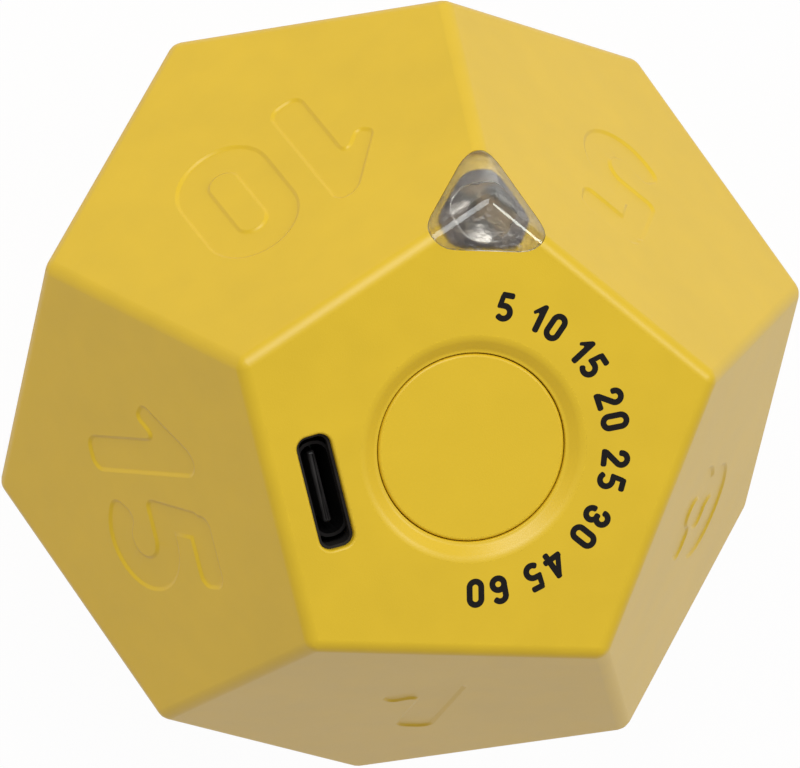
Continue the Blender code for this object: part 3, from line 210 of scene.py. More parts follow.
# Counts of steps round curves
EDGE_STEPS = 8
RIDGE_STEPS = 10
CORNER_STEPS = 8
LATHE_STEPS = 144
POST_STEPS = 32
ROLL_STEPS = 6
RIM_STEPS = 4
BEND_STEP = math.radians(9)
HOOK_COUNT = 3
ROUND_PROFILE = 0.5
CREASE_ANGLE = math.radians(50)
LENS_CREASE_ANGLE = math.radians(25)

# Levels and sizes that follow from the ones above
FACE_LEVEL = ACROSS_FLATS / 2
INNER_LEVEL = FACE_LEVEL - WALL
JOIN_LEVEL = INNER_LEVEL + WALL / 2
CAP_LEVEL = FACE_LEVEL - BUTTON_RECESS
CAP_UNDERSIDE = CAP_LEVEL - CAP_THICKNESS
COLLAR_END = INNER_LEVEL - COLLAR_LENGTH
SKIRT_END = COLLAR_END - FIT_GAP - HOOK_HEIGHT
BOARD_TOP = FACE_LEVEL - BOARD_DEPTH
BOSS_END = BOARD_TOP + FIT_GAP
STEM_END = PLUNGER_TOP + FIT_GAP
SURROUND_TOP = FACE_LEVEL - PORT_WALL - FIT_GAP
SURROUND_END = SURROUND_TOP - SURROUND_HEIGHT
SOCKET_TOP = SURROUND_TOP - SOCKET_RECESS
CAP_RADIUS = BORE_RADIUS - BUTTON_GAP
COLLAR_RADIUS = BORE_RADIUS + COLLAR_WALL
SLEEVE_RADIUS = SLEEVE_BORE_RADIUS + SLEEVE_WALL
LIGHT_RADIUS = SLEEVE_BORE_RADIUS - FIT_GAP
SHIELD_BORE_RADIUS = SLEEVE_BORE_RADIUS - SHIELD_GAP - SHIELD_WALL
UP = Vector((0, 0, 1))


def polar(radius, turn, level=0.0):
    """A point at this radius and turn about the upright axis."""
    return Vector((radius * math.cos(turn), radius * math.sin(turn), level))


def corner_rings(inradius):
    """The five corners of the top face and the five below them, from the solid's middle."""
    face_circle = inradius / INRADIUS_SHARE * FACE_CIRCLE_SHARE
    turns = [LENS_TURN + index * FIFTH_TURN for index in range(SIDES)]
    upper = [polar(face_circle, turn, inradius) for turn in turns]
    girdle = [polar(face_circle * GOLDEN_SHARE, turn, inradius - face_circle) for turn in turns]
    return upper, girdle


def section_apothem(level, inradius):
    """From the axis to a side face, at a level of the upper half."""
    return (inradius - level * SIDE_RISE_SHARE) / SIDE_OUT_SHARE


LENS_CORNER = corner_rings(FACE_LEVEL)[0][0]
LENS_DIRECTION = LENS_CORNER.normalized()
LENS_TILT = math.atan2(LENS_CORNER.y, LENS_CORNER.z)
CORNER_DISTANCE = LENS_CORNER.length
SEAT_DISTANCE = CORNER_DISTANCE - LENS_SEAT_DEPTH
WEB_DISTANCE = CORNER_DISTANCE - CORNER_WEB_DEPTH
FLANGE_DISTANCE = SEAT_DISTANCE - LENS_SPIGOT - FIT_GAP - LIGHT_LENGTH
SLEEVE_DISTANCE = FLANGE_DISTANCE + FIT_GAP
BOARD_APOTHEM = section_apothem(BOARD_TOP, INNER_LEVEL) - BOARD_MARGIN
BOSS_PLACE = BOARD_APOTHEM / math.cos(FIFTH_TURN / 2) - BOSS_INSET
PORT_PLACE = (COLLAR_RADIUS + section_apothem(INNER_LEVEL, INNER_LEVEL)) / 2 + PORT_OUTWARD_SHIFT

MIDDLE = Matrix.Translation((0, 0, FACE_LEVEL))
LENS_AXIS = MIDDLE @ Matrix.Rotation(-LENS_TILT, 4, "X")
PORT_AXIS = MIDDLE @ Matrix.Translation(polar(PORT_PLACE, PORT_TURN)) @ Matrix.Rotation(
    PORT_TURN - QUARTER_TURN, 4, "Z")


# Making and joining solids

def as_object(name, form):
    """An object from a bmesh as it is."""
    mesh = bpy.data.meshes.new(name)
    form.to_mesh(mesh)
    form.free()
    item = bpy.data.objects.new(name, mesh)
    bpy.context.scene.collection.objects.link(item)
    return item


def solid(name, form, place=MIDDLE):
    """An object from a bmesh, its faces turned outwards and its place in its mesh."""
    bmesh.ops.remove_doubles(form, verts=form.verts, dist=MERGE_DISTANCE)
    bmesh.ops.recalc_face_normals(form, faces=form.faces)
    if form.calc_volume(signed=True) < 0:
        bmesh.ops.reverse_faces(form, faces=form.faces)
    bmesh.ops.transform(form, matrix=place, verts=form.verts)
    return as_object(name, form)


def settle(item):
    """Make the result of an object's modifiers its own mesh."""
    bpy.context.view_layer.update()
    graph = bpy.context.evaluated_depsgraph_get()
    finished = bpy.data.meshes.new_from_object(item.evaluated_get(graph), depsgraph=graph)
    item.modifiers.clear()
    item.data = finished


def carve(target, *tools, operation="DIFFERENCE", weld=WELD_DISTANCE):
    """Cut, join or trim a piece with tools, and put the tools away."""
    for tool in tools:
        step = target.modifiers.new(tool.name, "BOOLEAN")
        step.operation = operation
        step.solver = "EXACT"
        step.object = tool
        if weld:
            seam = target.modifiers.new("seam", "WELD")
            seam.merge_threshold = weld
        settle(target)
        bpy.data.objects.remove(tool)
    return target


def join(target, *tools):
    """Add solids to a piece."""
    return carve(target, *tools, operation="UNION")


def soften(item, crease=CREASE_ANGLE):
    """Smooth shading on the rounded edges, with the large faces kept flat."""
    item.data.shade_smooth()
    item.data.set_sharp_from_angle(angle=crease)
    step = item.modifiers.new("even_shading", "WEIGHTED_NORMAL")
    step.keep_sharp = True
    settle(item)


def round_corner(form, corner, radius, steps=CORNER_STEPS):
    """Turn one corner of a flat outline into an arc."""
    if radius:
        ahead, back = (edge.other_vert(corner).co - corner.co for edge in corner.link_edges)
        offset = radius / math.tan(ahead.angle(back) / 2)
        bmesh.ops.bevel(form, geom=[corner], offset=offset, segments=steps, profile=ROUND_PROFILE,
                        affect="VERTICES", material=-1)


def outline(corners):
    """A flat face through these corners, each given as x, y and the radius of its rounding."""
    form = bmesh.new()
    knots = [form.verts.new((x, y, 0)) for x, y, radius in corners]
    form.faces.new(knots)
    for knot, (x, y, radius) in zip(knots, corners):
        round_corner(form, knot, radius)
    return form


def rectangle(length, width, radius):
    """A flat rectangle about the origin, its length along X, with round corners."""
    signs = ((-1, -1), (1, -1), (1, 1), (-1, 1))
    return outline([(x * length / 2, y * width / 2, radius) for x, y in signs])


def triangle(apothem, radius):
    """A flat triangle about the origin, one corner towards +Y, with round corners."""
    corners = [polar(2 * apothem, LENS_TURN + index * THIRD_TURN) for index in range(3)]
    return outline([(corner.x, corner.y, radius) for corner in corners])


def raised(form, start, end):
    """A block from a flat shape, from one level to another."""
    bmesh.ops.translate(form, verts=form.verts, vec=(0, 0, start))
    grown = bmesh.ops.extrude_face_region(form, geom=form.faces[:])["geom"]
    lid = [item for item in grown if isinstance(item, bmesh.types.BMVert)]
    bmesh.ops.translate(form, verts=lid, vec=(0, 0, end - start))
    return form


def sunk(form, path):
    """A cutter from the flat shape of a recess, its side given as steps inwards and down."""
    floor = form.faces[:]
    raised(form, RIM_LIFT, OVERRUN + RIM_LIFT)
    bmesh.ops.recalc_face_normals(form, faces=form.faces)
    for before, after in zip(path, path[1:]):
        inward, deeper = after - before
        bmesh.ops.inset_region(form, faces=floor, thickness=inward, depth=deeper,
                               use_boundary=True, use_even_offset=True)
    return form


def eased_hole(form, depth, rim):
    """Cutter of a deep hole with a rounded rim."""
    path = [Vector((0, 0))]
    for step in range(1, RIM_STEPS + 1):
        turn = QUARTER_TURN * step / RIM_STEPS
        path.append(Vector((rim * math.sin(turn), rim * (1 - math.cos(turn)))))
    return sunk(form, [*path, Vector((rim + HOLE_DRAFT, depth))])


def engraved(form):
    """Cutter of an engraved digit: its soft side slopes across the digit's outline."""
    spread = bmesh.ops.inset_region(form, faces=form.faces[:], thickness=-NUMERAL_SLOPE / 2,
                                    use_boundary=True, use_even_offset=True)["faces"]
    bmesh.ops.delete(form, geom=spread, context="FACES")
    shares = [step / SLOPE_STEPS for step in range(SLOPE_STEPS + 1)]
    return sunk(form, [Vector((NUMERAL_SLOPE * share, NUMERAL_DEPTH * share ** 2 * (3 - 2 * share)))
                       for share in shares])


def lathe(profile, steps=LATHE_STEPS, round_steps=ROLL_STEPS):
    """A round solid from the corners of its half section, as radius, level and rounding."""
    form = bmesh.new()
    knots = [form.verts.new((radius, 0, level)) for radius, level, rounding in profile]
    for upper, lower in zip(knots, knots[1:]):
        form.edges.new((upper, lower))
    if profile[0][0] > 0:
        form.edges.new((knots[-1], knots[0]))
    for knot, (radius, level, rounding) in zip(knots, profile):
        round_corner(form, knot, rounding, round_steps)
    bmesh.ops.spin(form, geom=form.verts[:] + form.edges[:], axis=UP, angle=2 * math.pi, steps=steps,
                   use_merge=True)
    return form


def plain_profile(*points):
    """Corners of a half section that stay sharp."""
    return [(radius, level, 0) for radius, level in points]


def posts(radius, start, end):
    """A post at each of the board's bosses."""
    form = bmesh.new()
    for turn in BOSS_TURNS:
        place = Matrix.Translation(polar(BOSS_PLACE, turn, (start + end) / 2))
        bmesh.ops.create_cone(form, cap_ends=True, segments=POST_STEPS, radius1=radius,
                              radius2=radius, depth=abs(end - start), matrix=place)
    return form


def add_block(form, size, place):
    """Add a plain block to a bmesh."""
    bmesh.ops.create_cube(form, size=1, matrix=place @ Matrix.Diagonal((*size, 1)))
    return form


def twelve_sided(inradius, rounding=0.0, steps=EDGE_STEPS):
    """The regular solid about the origin, its edges rounded where a radius is given."""
    form = bmesh.new()
    for ring in corner_rings(inradius):
        for corner in ring:
            form.verts.new(corner)
            form.verts.new(-corner)
    bmesh.ops.convex_hull(form, input=form.verts)
    bmesh.ops.dissolve_limit(form, angle_limit=FLAT_ANGLE, verts=form.verts, edges=form.edges)
    bmesh.ops.recalc_face_normals(form, faces=form.faces)
    if rounding:
        setback = rounding * math.tan(math.acos(SIDE_RISE_SHARE) / 2)
        bmesh.ops.bevel(form, geom=form.edges, offset=setback, offset_type="OFFSET", segments=steps,
                        profile=ROUND_PROFILE, affect="EDGES", material=-1)
    return form


def half_region(side, shift):
    """Everything above (1) or below (-1) the zigzag parting line, wider than the timer."""
    form = twelve_sided(FACE_LEVEL * REGION_SHARE)
    other_side = [face for face in form.faces if face.normal.z * side < 0]
    bmesh.ops.delete(form, geom=other_side, context="FACES")
    rim = [edge for edge in form.edges if edge.is_boundary]
    wall = bmesh.ops.extrude_edge_only(form, edges=rim)["geom"]
    tips = [item for item in wall if isinstance(item, bmesh.types.BMVert)]
    bmesh.ops.pointmerge(form, verts=tips, merge_co=(0, 0, 0))
    bmesh.ops.translate(form, verts=form.verts, vec=(0, 0, shift))
    return form


def parting_steepness():
    """Rise of the parting surface's normal: an upward shift opens this share of it as a gap."""
    girdle = corner_rings(FACE_LEVEL)[1]
    return abs(girdle[0].cross(-girdle[SIDES // 2]).normalized().z)


# Numerals

def ribbon(start, heading, moves, width):
    """A flat stroke of even width: straight runs, and bends given as a radius and a turn."""
    form = bmesh.new()
    spot = Vector((*start, 0))
    direction = polar(1, math.radians(heading))
    side = UP.cross(direction) * width / 2
    end = form.edges.new([form.verts.new(spot + side), form.verts.new(spot - side)])
    for move in moves:
        if isinstance(move, tuple):
            radius, turn = move[0], math.radians(move[1])
            centre = spot + UP.cross(direction) * math.copysign(radius, turn)
            steps = math.ceil(abs(turn) / BEND_STEP)
            grown = bmesh.ops.spin(form, geom=[*end.verts, end], cent=centre, axis=UP, angle=turn,
                                   steps=steps)["geom_last"]
            swing = Matrix.Rotation(turn, 3, "Z")
            spot = centre + swing @ (spot - centre)
            direction = swing @ direction
        else:
            grown = bmesh.ops.extrude_edge_only(form, edges=[end])["geom"]
            knots = [item for item in grown if isinstance(item, bmesh.types.BMVert)]
            bmesh.ops.translate(form, verts=knots, vec=direction * move)
            spot = spot + direction * move
        end = next(item for item in grown if isinstance(item, bmesh.types.BMEdge))
    bmesh.ops.remove_doubles(form, verts=form.verts, dist=width * RIBBON_MERGE_SHARE)
    return form


def open_stroke(form, corner_radius):
    """One face from a ribbon that has two ends, their corners rounded."""
    tips = [vert for vert in form.verts if len(vert.link_faces) == 1]
    bmesh.ops.dissolve_faces(form, faces=form.faces[:])
    for tip in tips:
        round_corner(form, tip, corner_radius)
    return form


def numeral_strokes(digit):
    """The flat strokes of a digit one unit high, and its width."""
    half = STROKE_SHARE / 2
    bowl = 0.303 - half
    small_bowl = 0.25 - half / 2
    turn_back = 180

    def stroke(start, heading, *moves):
        return open_stroke(ribbon(start, heading, moves, STROKE_SHARE), STROKE_CORNER_SHARE)

    def loop(start, *moves):
        return ribbon(start, 270, moves, STROKE_SHARE)

    if digit == "0":
        return [loop((half, 0.5), 0.197, (bowl, turn_back), 0.394, (bowl, turn_back), 0.197)], 0.606
    if digit == "1":
        return [outline([(0.439, 0, 0.08), (0.439, 1, 0.08), (0.30, 1, 0.12), (0, 0.634, 0.045),
                         (0.074, 0.543, 0.045), (0.225, 0.690, 0.045), (0.225, 0, 0.08)])], 0.439
    if digit == "2":
        hook = stroke((half, 0.60), 90, 0.10, (0.303 - half, -220), 0.60)
        return [hook, stroke((0, half), 0, 0.6)], 0.6
    if digit == "3":
        lower_bowl = small_bowl + 0.004
        upper = stroke((half, 0.62), 90, 0.38 - half - small_bowl, (small_bowl, -270), 0.1)
        lower = stroke((half, 0.39), 270, 0.39 - half - lower_bowl, (lower_bowl, 270), 0.1)
        return [upper, lower], 0.6
    if digit == "4":
        slope = open_stroke(ribbon((0.0952, 0.30), 59.7, [0.69], 0.18), 0.045)
        return [slope, stroke((0.46, 0), 90, 1.0), stroke((0, 0.29), 0, 0.67)], 0.67
    if digit == "5":
        bowl_stroke = stroke((0.05, 0.534), 0, 0.2135, (0.218, -215), 0.10)
        back = outline([(0.070, 0.91, 0.045), (0, 0.425, 0.06), (0.19, 0.4377, 0.045), (0.24, 0.91, 0.045)])
        return [stroke((0.086, 1 - half), 0, 0.454), back, bowl_stroke], 0.58
    ring = loop((half, 0.303), (bowl, turn_back), (bowl, turn_back))
    arm = stroke((half + 0.006, 0.25), 90, 0.447, (bowl - 0.003, -135), 0.09)
    return [ring, arm], 0.606


def numeral_width(text, gap_share):
    """Width of a number one unit high."""
    widths = [numeral_strokes(digit)[1] for digit in text]
    return sum(widths) + gap_share * (len(widths) - 1)


def joined_flat(name, strokes):
    """One flat form from strokes that overlap."""
    if len(strokes) == 1:
        return strokes[0]
    blocks = []
    for index, stroke in enumerate(strokes):
        reach = STROKE_SHARE + index * STROKE_STAGGER
        blocks.append(solid(name, raised(stroke, -reach, reach), Matrix()))
    joined = carve(*blocks, operation="UNION", weld=0)
    form = bmesh.new()
    form.from_mesh(joined.data)
    bpy.data.objects.remove(joined)
    geometry = [*form.verts, *form.edges, *form.faces]
    bmesh.ops.bisect_plane(form, geom=geometry, plane_co=(0, 0, 0), plane_no=UP, clear_inner=True,
                           clear_outer=True)
    bmesh.ops.remove_doubles(form, verts=form.verts, dist=STROKE_MERGE)
    bmesh.ops.triangle_fill(form, use_beauty=True, edges=form.edges[:], normal=UP)
    return form


def digit_solid(name, strokes, height, shaper, place):
    """One digit as a solid, shaped from its flat form."""
    form = joined_flat(name, strokes)
    bmesh.ops.scale(form, verts=form.verts, vec=(height, height, 1))
    return solid(name, shaper(form), place)


def merge_objects(name, items):
    """One object from several that don't touch."""
    form = bmesh.new()
    for item in items:
        form.from_mesh(item.data)
        bpy.data.objects.remove(item)
    return as_object(name, form)


def side_frame(turn, half):
    """The frame on a side face: X to the right, Y up, Z outwards, the origin at its middle."""
    normal = polar(SIDE_OUT_SHARE, turn, half * SIDE_RISE_SHARE)
    upward = (UP - normal * normal.z).normalized()
    across = upward.cross(normal)
    turned = Matrix((across, upward, normal)).transposed().to_4x4()
    return MIDDLE @ Matrix.Translation(normal * FACE_LEVEL) @ turned


def engraving(numerals, half):
    """Cutters for the numerals of one shell's five side faces."""
    digits = []
    for index, text in enumerate(numerals):
        turn = LENS_TURN + (index + 0.5) * FIFTH_TURN
        if half < 0:
            turn += FIFTH_TURN / 2
        face = side_frame(turn, half)
        left = -numeral_width(text, NUMERAL_GAP_SHARE) / 2 * NUMERAL_HEIGHT
        for digit in text:
            strokes, width = numeral_strokes(digit)
            place = face @ Matrix.Translation((left, -NUMERAL_HEIGHT / 2 + NUMERAL_LIFT, 0))
            digits.append(digit_solid(f"numeral_{text}", strokes, NUMERAL_HEIGHT, engraved, place))
            left += (width + NUMERAL_GAP_SHARE) * NUMERAL_HEIGHT
    return digits


def inked(flat):
    """Ink layer of one printed digit."""
    return raised(flat, -PRINT_ROOT, PRINT_RISE)


def print_ring():
    """Plain numbers printed in an arc round the button, their tops outwards."""
    widths = [numeral_width(text, PRINT_GAP_SHARE) * PRINT_HEIGHT for text in PRINT_NUMERALS]
    spare = PRINT_SWEEP * PRINT_RADIUS - sum(widths)
    word_gap = spare / (len(widths) - 1)
    along = 0.0
    digits = []
    for text, total in zip(PRINT_NUMERALS, widths):
        reach = along
        for digit in text:
            strokes, width = numeral_strokes(digit)
            middle = reach + width * PRINT_HEIGHT / 2
            turn = PRINT_START - middle / PRINT_RADIUS
            place = (MIDDLE @ Matrix.Rotation(turn - QUARTER_TURN, 4, "Z")
                     @ Matrix.Translation((-width * PRINT_HEIGHT / 2, PRINT_RADIUS, FACE_LEVEL)))
            digits.append(digit_solid("print", strokes, PRINT_HEIGHT, inked, place))
            reach += (width + PRINT_GAP_SHARE) * PRINT_HEIGHT
        along += total + word_gap
    return merge_objects("dial_print", digits)


# Pieces

def upper_shell():
    """The six faces round the button: skin, what grows inside it, its openings and its numerals."""
    shell = solid("upper_case", twelve_sided(FACE_LEVEL, EDGE_ROUND))
    shift = PARTING_GAP / 2 / parting_steepness()
    hollow = twelve_sided(INNER_LEVEL)
    bmesh.ops.bisect_plane(hollow, geom=[*hollow.verts, *hollow.edges, *hollow.faces],
                           plane_co=LENS_DIRECTION * WEB_DISTANCE, plane_no=LENS_DIRECTION,
                           clear_outer=True)
    bmesh.ops.holes_fill(hollow, edges=[edge for edge in hollow.edges if edge.is_boundary])
    pocket = raised(triangle(LENS_APOTHEM, LENS_CORNER_RADIUS), SEAT_DISTANCE, CORNER_DISTANCE + OVERRUN)
    carve(shell, solid("lens_pocket", pocket, LENS_AXIS), solid("hollow", hollow),
          solid("below_parting", half_region(-1, shift)), lap_solid("lap_pocket", 0.0, FIT_GAP))
    collar = plain_profile((COLLAR_RADIUS, JOIN_LEVEL), (COLLAR_RADIUS, COLLAR_END),
                           (BORE_RADIUS - OVERRUN, COLLAR_END), (BORE_RADIUS - OVERRUN, JOIN_LEVEL))
    top = WEB_DISTANCE + OVERRUN / 2
    sleeve = plain_profile((0, top), (SLEEVE_RADIUS, top), (SLEEVE_RADIUS, SLEEVE_DISTANCE),
                           (0, SLEEVE_DISTANCE))
    join(shell, solid("collar", lathe(collar)), solid("bosses", posts(BOSS_RADIUS, JOIN_LEVEL, BOSS_END)),
         solid("sleeve", lathe(sleeve, POST_STEPS), LENS_AXIS))
    top = SEAT_DISTANCE + OVERRUN
    end = SLEEVE_DISTANCE - OVERRUN
    bore = plain_profile((0, top), (SLEEVE_BORE_RADIUS, top), (SLEEVE_BORE_RADIUS, end), (0, end))
    pilots = posts(SCREW_RADIUS, BOSS_END - OVERRUN, BOSS_END + SCREW_LENGTH)
    carve(shell, solid("button_seat", button_seat()), solid("sleeve_bore", lathe(bore), LENS_AXIS),
          solid("pilots", pilots), *port_cutters(), *engraving(UPPER_NUMERALS, 1))
    return shell


def lap_solid(name, inset, extra_reach):
    """The band of the lower shell's tongue above the parting line, or the pocket for it."""
    band = solid(name, twelve_sided(FACE_LEVEL - LAP_SKIN - inset))
    above = solid("above", half_region(1, (LAP_REACH + extra_reach) / parting_steepness()))
    return carve(band, above)


def button_seat():
    """Cutter for the dished seat, its soft outer roll and the bore below it."""
    top = FACE_LEVEL + OVERRUN
    end = COLLAR_END - OVERRUN
    return lathe([
        (0, top, 0), (SEAT_RADIUS + SEAT_RUNOUT, top, 0),
        (SEAT_RADIUS + SEAT_RUNOUT, FACE_LEVEL + SEAT_RUNOUT_RISE, 0),
        (SEAT_RADIUS, FACE_LEVEL, SEAT_ROLL),
        (BORE_RADIUS + SEAT_FLOOR, CAP_LEVEL + SEAT_FLOOR_RISE, SEAT_FLOOR_ROLL),
        (BORE_RADIUS, CAP_LEVEL, BORE_EDGE_ROUND),
        (BORE_RADIUS, end, 0), (0, end, 0),
    ])


def port_cutters():
    """The slot for the plug with its eased rim, and the room behind it for the surround."""
    mouth = rectangle(SLOT_LENGTH + 2 * SLOT_EDGE_ROUND, SLOT_WIDTH + 2 * SLOT_EDGE_ROUND,
                      SLOT_CORNER_RADIUS + SLOT_EDGE_ROUND)
    slot = eased_hole(mouth, WALL + OVERRUN, SLOT_EDGE_ROUND)
    room = raised(rectangle(SURROUND_LENGTH + 2 * FIT_GAP, SURROUND_WIDTH + 2 * FIT_GAP,
                            SURROUND_CORNER_RADIUS + FIT_GAP), INNER_LEVEL - OVERRUN, FACE_LEVEL - PORT_WALL)
    return (solid("port_slot", slot, PORT_AXIS @ Matrix.Translation((0, 0, FACE_LEVEL))),
            solid("port_room", room, PORT_AXIS))


def lower_shell():
    """The other six faces, with the tongue, the frame for the cell and the numerals."""
    shell = solid("lower_case", twelve_sided(FACE_LEVEL, EDGE_ROUND))
    shift = -PARTING_GAP / 2 / parting_steepness()
    carve(shell, solid("above_parting", half_region(1, shift)))
    join(shell, lap_solid("tongue", FIT_GAP, 0.0))
    carve(shell, solid("lower_hollow", twelve_sided(INNER_LEVEL)))
    room = (CELL_WIDTH + 2 * FIT_GAP, CELL_LENGTH + 2 * FIT_GAP)
    height = FRAME_HEIGHT + WALL
    walls = (room[0] + 2 * FRAME_WALL, room[1] + 2 * FRAME_WALL, height)
    foot = Matrix.Translation((0, CELL_SHIFT, height / 2 - FACE_LEVEL))
    cell_frame = solid("cell_frame", add_block(bmesh.new(), walls, foot))
    inside = add_block(bmesh.new(), (*room, height), Matrix.Translation((0, 0, WALL)) @ foot)
    carve(cell_frame, solid("cell_room", inside))
    carve(cell_frame, solid("frame_trim", twelve_sided(JOIN_LEVEL)), operation="INTERSECT")
    join(shell, cell_frame)
    return carve(shell, *engraving(LOWER_NUMERALS, -1))


def button():
    """Push button: soft-edged top, skirt with three spring hooks, and the stem below."""
    bore = CAP_RADIUS - SKIRT_WALL
    cap = solid("button", lathe([
        (0, CAP_LEVEL, 0), (CAP_RADIUS, CAP_LEVEL, CAP_EDGE_ROUND), (CAP_RADIUS, SKIRT_END, 0),
        (bore, SKIRT_END, 0), (bore, CAP_UNDERSIDE, 0), (STEM_RADIUS, CAP_UNDERSIDE, 0),
        (STEM_RADIUS, STEM_END, 0), (0, STEM_END, 0),
    ]))
    root = CAP_RADIUS - SKIRT_WALL / 2
    tip = BORE_RADIUS + HOOK_GRIP
    hooks = bmesh.new()
    slits = bmesh.new()
    for index in range(HOOK_COUNT):
        facing = Matrix.Rotation(LENS_TURN + index * 2 * math.pi / HOOK_COUNT, 4, "Z")
        hook = facing @ Matrix.Translation(((tip + root) / 2, 0, SKIRT_END + HOOK_HEIGHT / 2))
        add_block(hooks, (tip - root, HOOK_WIDTH + SLIT_WIDTH, HOOK_HEIGHT), hook)
        for side in (-1, 1):
            slit = facing @ Matrix.Translation(
                (CAP_RADIUS, side * (HOOK_WIDTH + SLIT_WIDTH) / 2, SKIRT_END + (SLIT_LENGTH - OVERRUN) / 2))
            add_block(slits, (2 * (SKIRT_WALL + HOOK_GRIP), SLIT_WIDTH, SLIT_LENGTH + OVERRUN), slit)
    join(cap, solid("hooks", hooks))
    return carve(cap, solid("slits", slits))


def lens():
    """Clear corner: three facets flush with the faces round it, and a spigot behind."""
    block = raised(triangle(LENS_APOTHEM - LENS_GAP, LENS_CORNER_RADIUS - LENS_GAP),
                   SEAT_DISTANCE + FIT_GAP, CORNER_DISTANCE + OVERRUN)
    clear = solid("lens", block, LENS_AXIS)
    carve(clear, solid("facets", twelve_sided(FACE_LEVEL, LENS_RIDGE_ROUND, RIDGE_STEPS)),
          operation="INTERSECT")
    top = SEAT_DISTANCE + OVERRUN
    end = SEAT_DISTANCE - LENS_SPIGOT
    spigot = plain_profile((0, top), (LIGHT_RADIUS, top), (LIGHT_RADIUS, end), (0, end))
    return join(clear, solid("spigot", lathe(spigot, POST_STEPS * 2), LENS_AXIS))


def light_body():
    """Clear domed body of the light, with its flange."""
    tip = FLANGE_DISTANCE + LIGHT_LENGTH
    back = FLANGE_DISTANCE - LIGHT_FLANGE_THICKNESS
    rim = LIGHT_RADIUS + LIGHT_FLANGE_WIDTH
    flange = plain_profile((LIGHT_RADIUS, FLANGE_DISTANCE), (rim, FLANGE_DISTANCE), (rim, back), (0, back))
    profile = [(0, tip, 0), (LIGHT_RADIUS, tip, LIGHT_RADIUS * DOME_SHARE), *flange]
    return solid("light_body", lathe(profile, round_steps=DOME_STEPS), LENS_AXIS)


def light_frame():
    """Metal inside the light: a cup on a post, and the post beside it."""
    foot = FLANGE_DISTANCE - LIGHT_FLANGE_THICKNESS + FRAME_INSET
    base = FLANGE_DISTANCE + CUP_LEVEL - CUP_DEPTH - CUP_RIM
    top = FLANGE_DISTANCE + CUP_LEVEL
    cup = lathe(plain_profile((0, base + CUP_RIM), (CUP_FLOOR_RADIUS, base + CUP_RIM), (CUP_RADIUS, top),
                              (CUP_RADIUS + CUP_RIM, top), (CUP_RADIUS, base), (0, base)), POST_STEPS)
    posts_form = bmesh.new()
    for side, level in ((-1, base + CUP_RIM / 2), (1, top)):
        width = LEG_SPACING / 2 if side < 0 else FRAME_POST
        middle = (side * (LEG_SPACING / 2 + FRAME_POST / 2 - width / 2), 0, (foot + level) / 2)
        add_block(posts_form, (width, FRAME_POST, level - foot), Matrix.Translation(middle))
    return join(solid("light_frame", cup, LENS_AXIS), solid("frame_posts", posts_form, LENS_AXIS))


def light_shield():
    """Grey shield behind the lens, with a short tube round the light."""
    floor_level = SEAT_DISTANCE + SHIELD_GAP
    shield = solid("light_shield", raised(triangle(SHIELD_APOTHEM, SHIELD_CORNER_RADIUS), floor_level,
                                          floor_level + SHIELD_THICKNESS), LENS_AXIS)
    outer = SLEEVE_BORE_RADIUS - SHIELD_GAP
    end = FLANGE_DISTANCE + FIT_GAP + SHIELD_GAP
    tube = plain_profile((0, floor_level + SHIELD_THICKNESS / 2), (outer, floor_level + SHIELD_THICKNESS / 2),
                         (outer, end), (0, end))
    bore = plain_profile((0, SEAT_DISTANCE + OVERRUN), (SHIELD_BORE_RADIUS, SEAT_DISTANCE + OVERRUN),
                         (SHIELD_BORE_RADIUS, end - OVERRUN), (0, end - OVERRUN))
    join(shield, solid("tube", lathe(tube), LENS_AXIS))
    return carve(shield, solid("bore", lathe(bore), LENS_AXIS))


def surround():
    """Black surround of the socket, with a thin lip that lines the slot."""
    ring = raised(rectangle(SURROUND_LENGTH, SURROUND_WIDTH, SURROUND_CORNER_RADIUS), SURROUND_END,
                  SURROUND_TOP)
    lip = raised(rectangle(SLOT_LENGTH - 2 * LIP_GAP, SLOT_WIDTH - 2 * LIP_GAP, SLOT_CORNER_RADIUS - LIP_GAP),
                 SOCKET_TOP + LIP_ROOT, FACE_LEVEL - LIP_RECESS)
    room = raised(rectangle(SOCKET_LENGTH + 2 * FIT_GAP, SOCKET_WIDTH + 2 * FIT_GAP,
                            SOCKET_CORNER_RADIUS + FIT_GAP),
                  SURROUND_END - OVERRUN, SOCKET_TOP + LIP_ROOT / 2)
    inset = LIP_GAP + LIP_WALL
    mouth = raised(rectangle(SLOT_LENGTH - 2 * inset, SLOT_WIDTH - 2 * inset, SLOT_CORNER_RADIUS - inset),
                   SURROUND_END - OVERRUN, FACE_LEVEL)
    piece = join(solid("surround", ring, PORT_AXIS), solid("lip", lip, PORT_AXIS))
    return carve(piece, solid("socket_room", room, PORT_AXIS), solid("mouth", mouth, PORT_AXIS))


def tongue():
    """Tongue of the socket with a soft upper edge, on the block that closes the socket's end."""
    inset = SOCKET_METAL + FIT_GAP
    base = raised(rectangle(SOCKET_LENGTH - 2 * inset, SOCKET_WIDTH - 2 * inset,
                            SOCKET_CORNER_RADIUS - inset), BOSS_END, BOSS_END + TONGUE_BASE)
    blade = raised(rectangle(TONGUE_LENGTH, TONGUE_THICKNESS, TONGUE_CORNER_RADIUS),
                   BOSS_END + TONGUE_BASE / 2, SOCKET_TOP - TONGUE_RECESS)
    top = max(vert.co.z for vert in blade.verts)
    rim = [edge for edge in blade.edges if min(vert.co.z for vert in edge.verts) > top - OVERRUN]
    bmesh.ops.bevel(blade, geom=rim, offset=TONGUE_EDGE, segments=RIM_STEPS, profile=ROUND_PROFILE,
                    affect="EDGES", material=-1)
    return join(solid("tongue", base, PORT_AXIS), solid("blade", blade, PORT_AXIS))


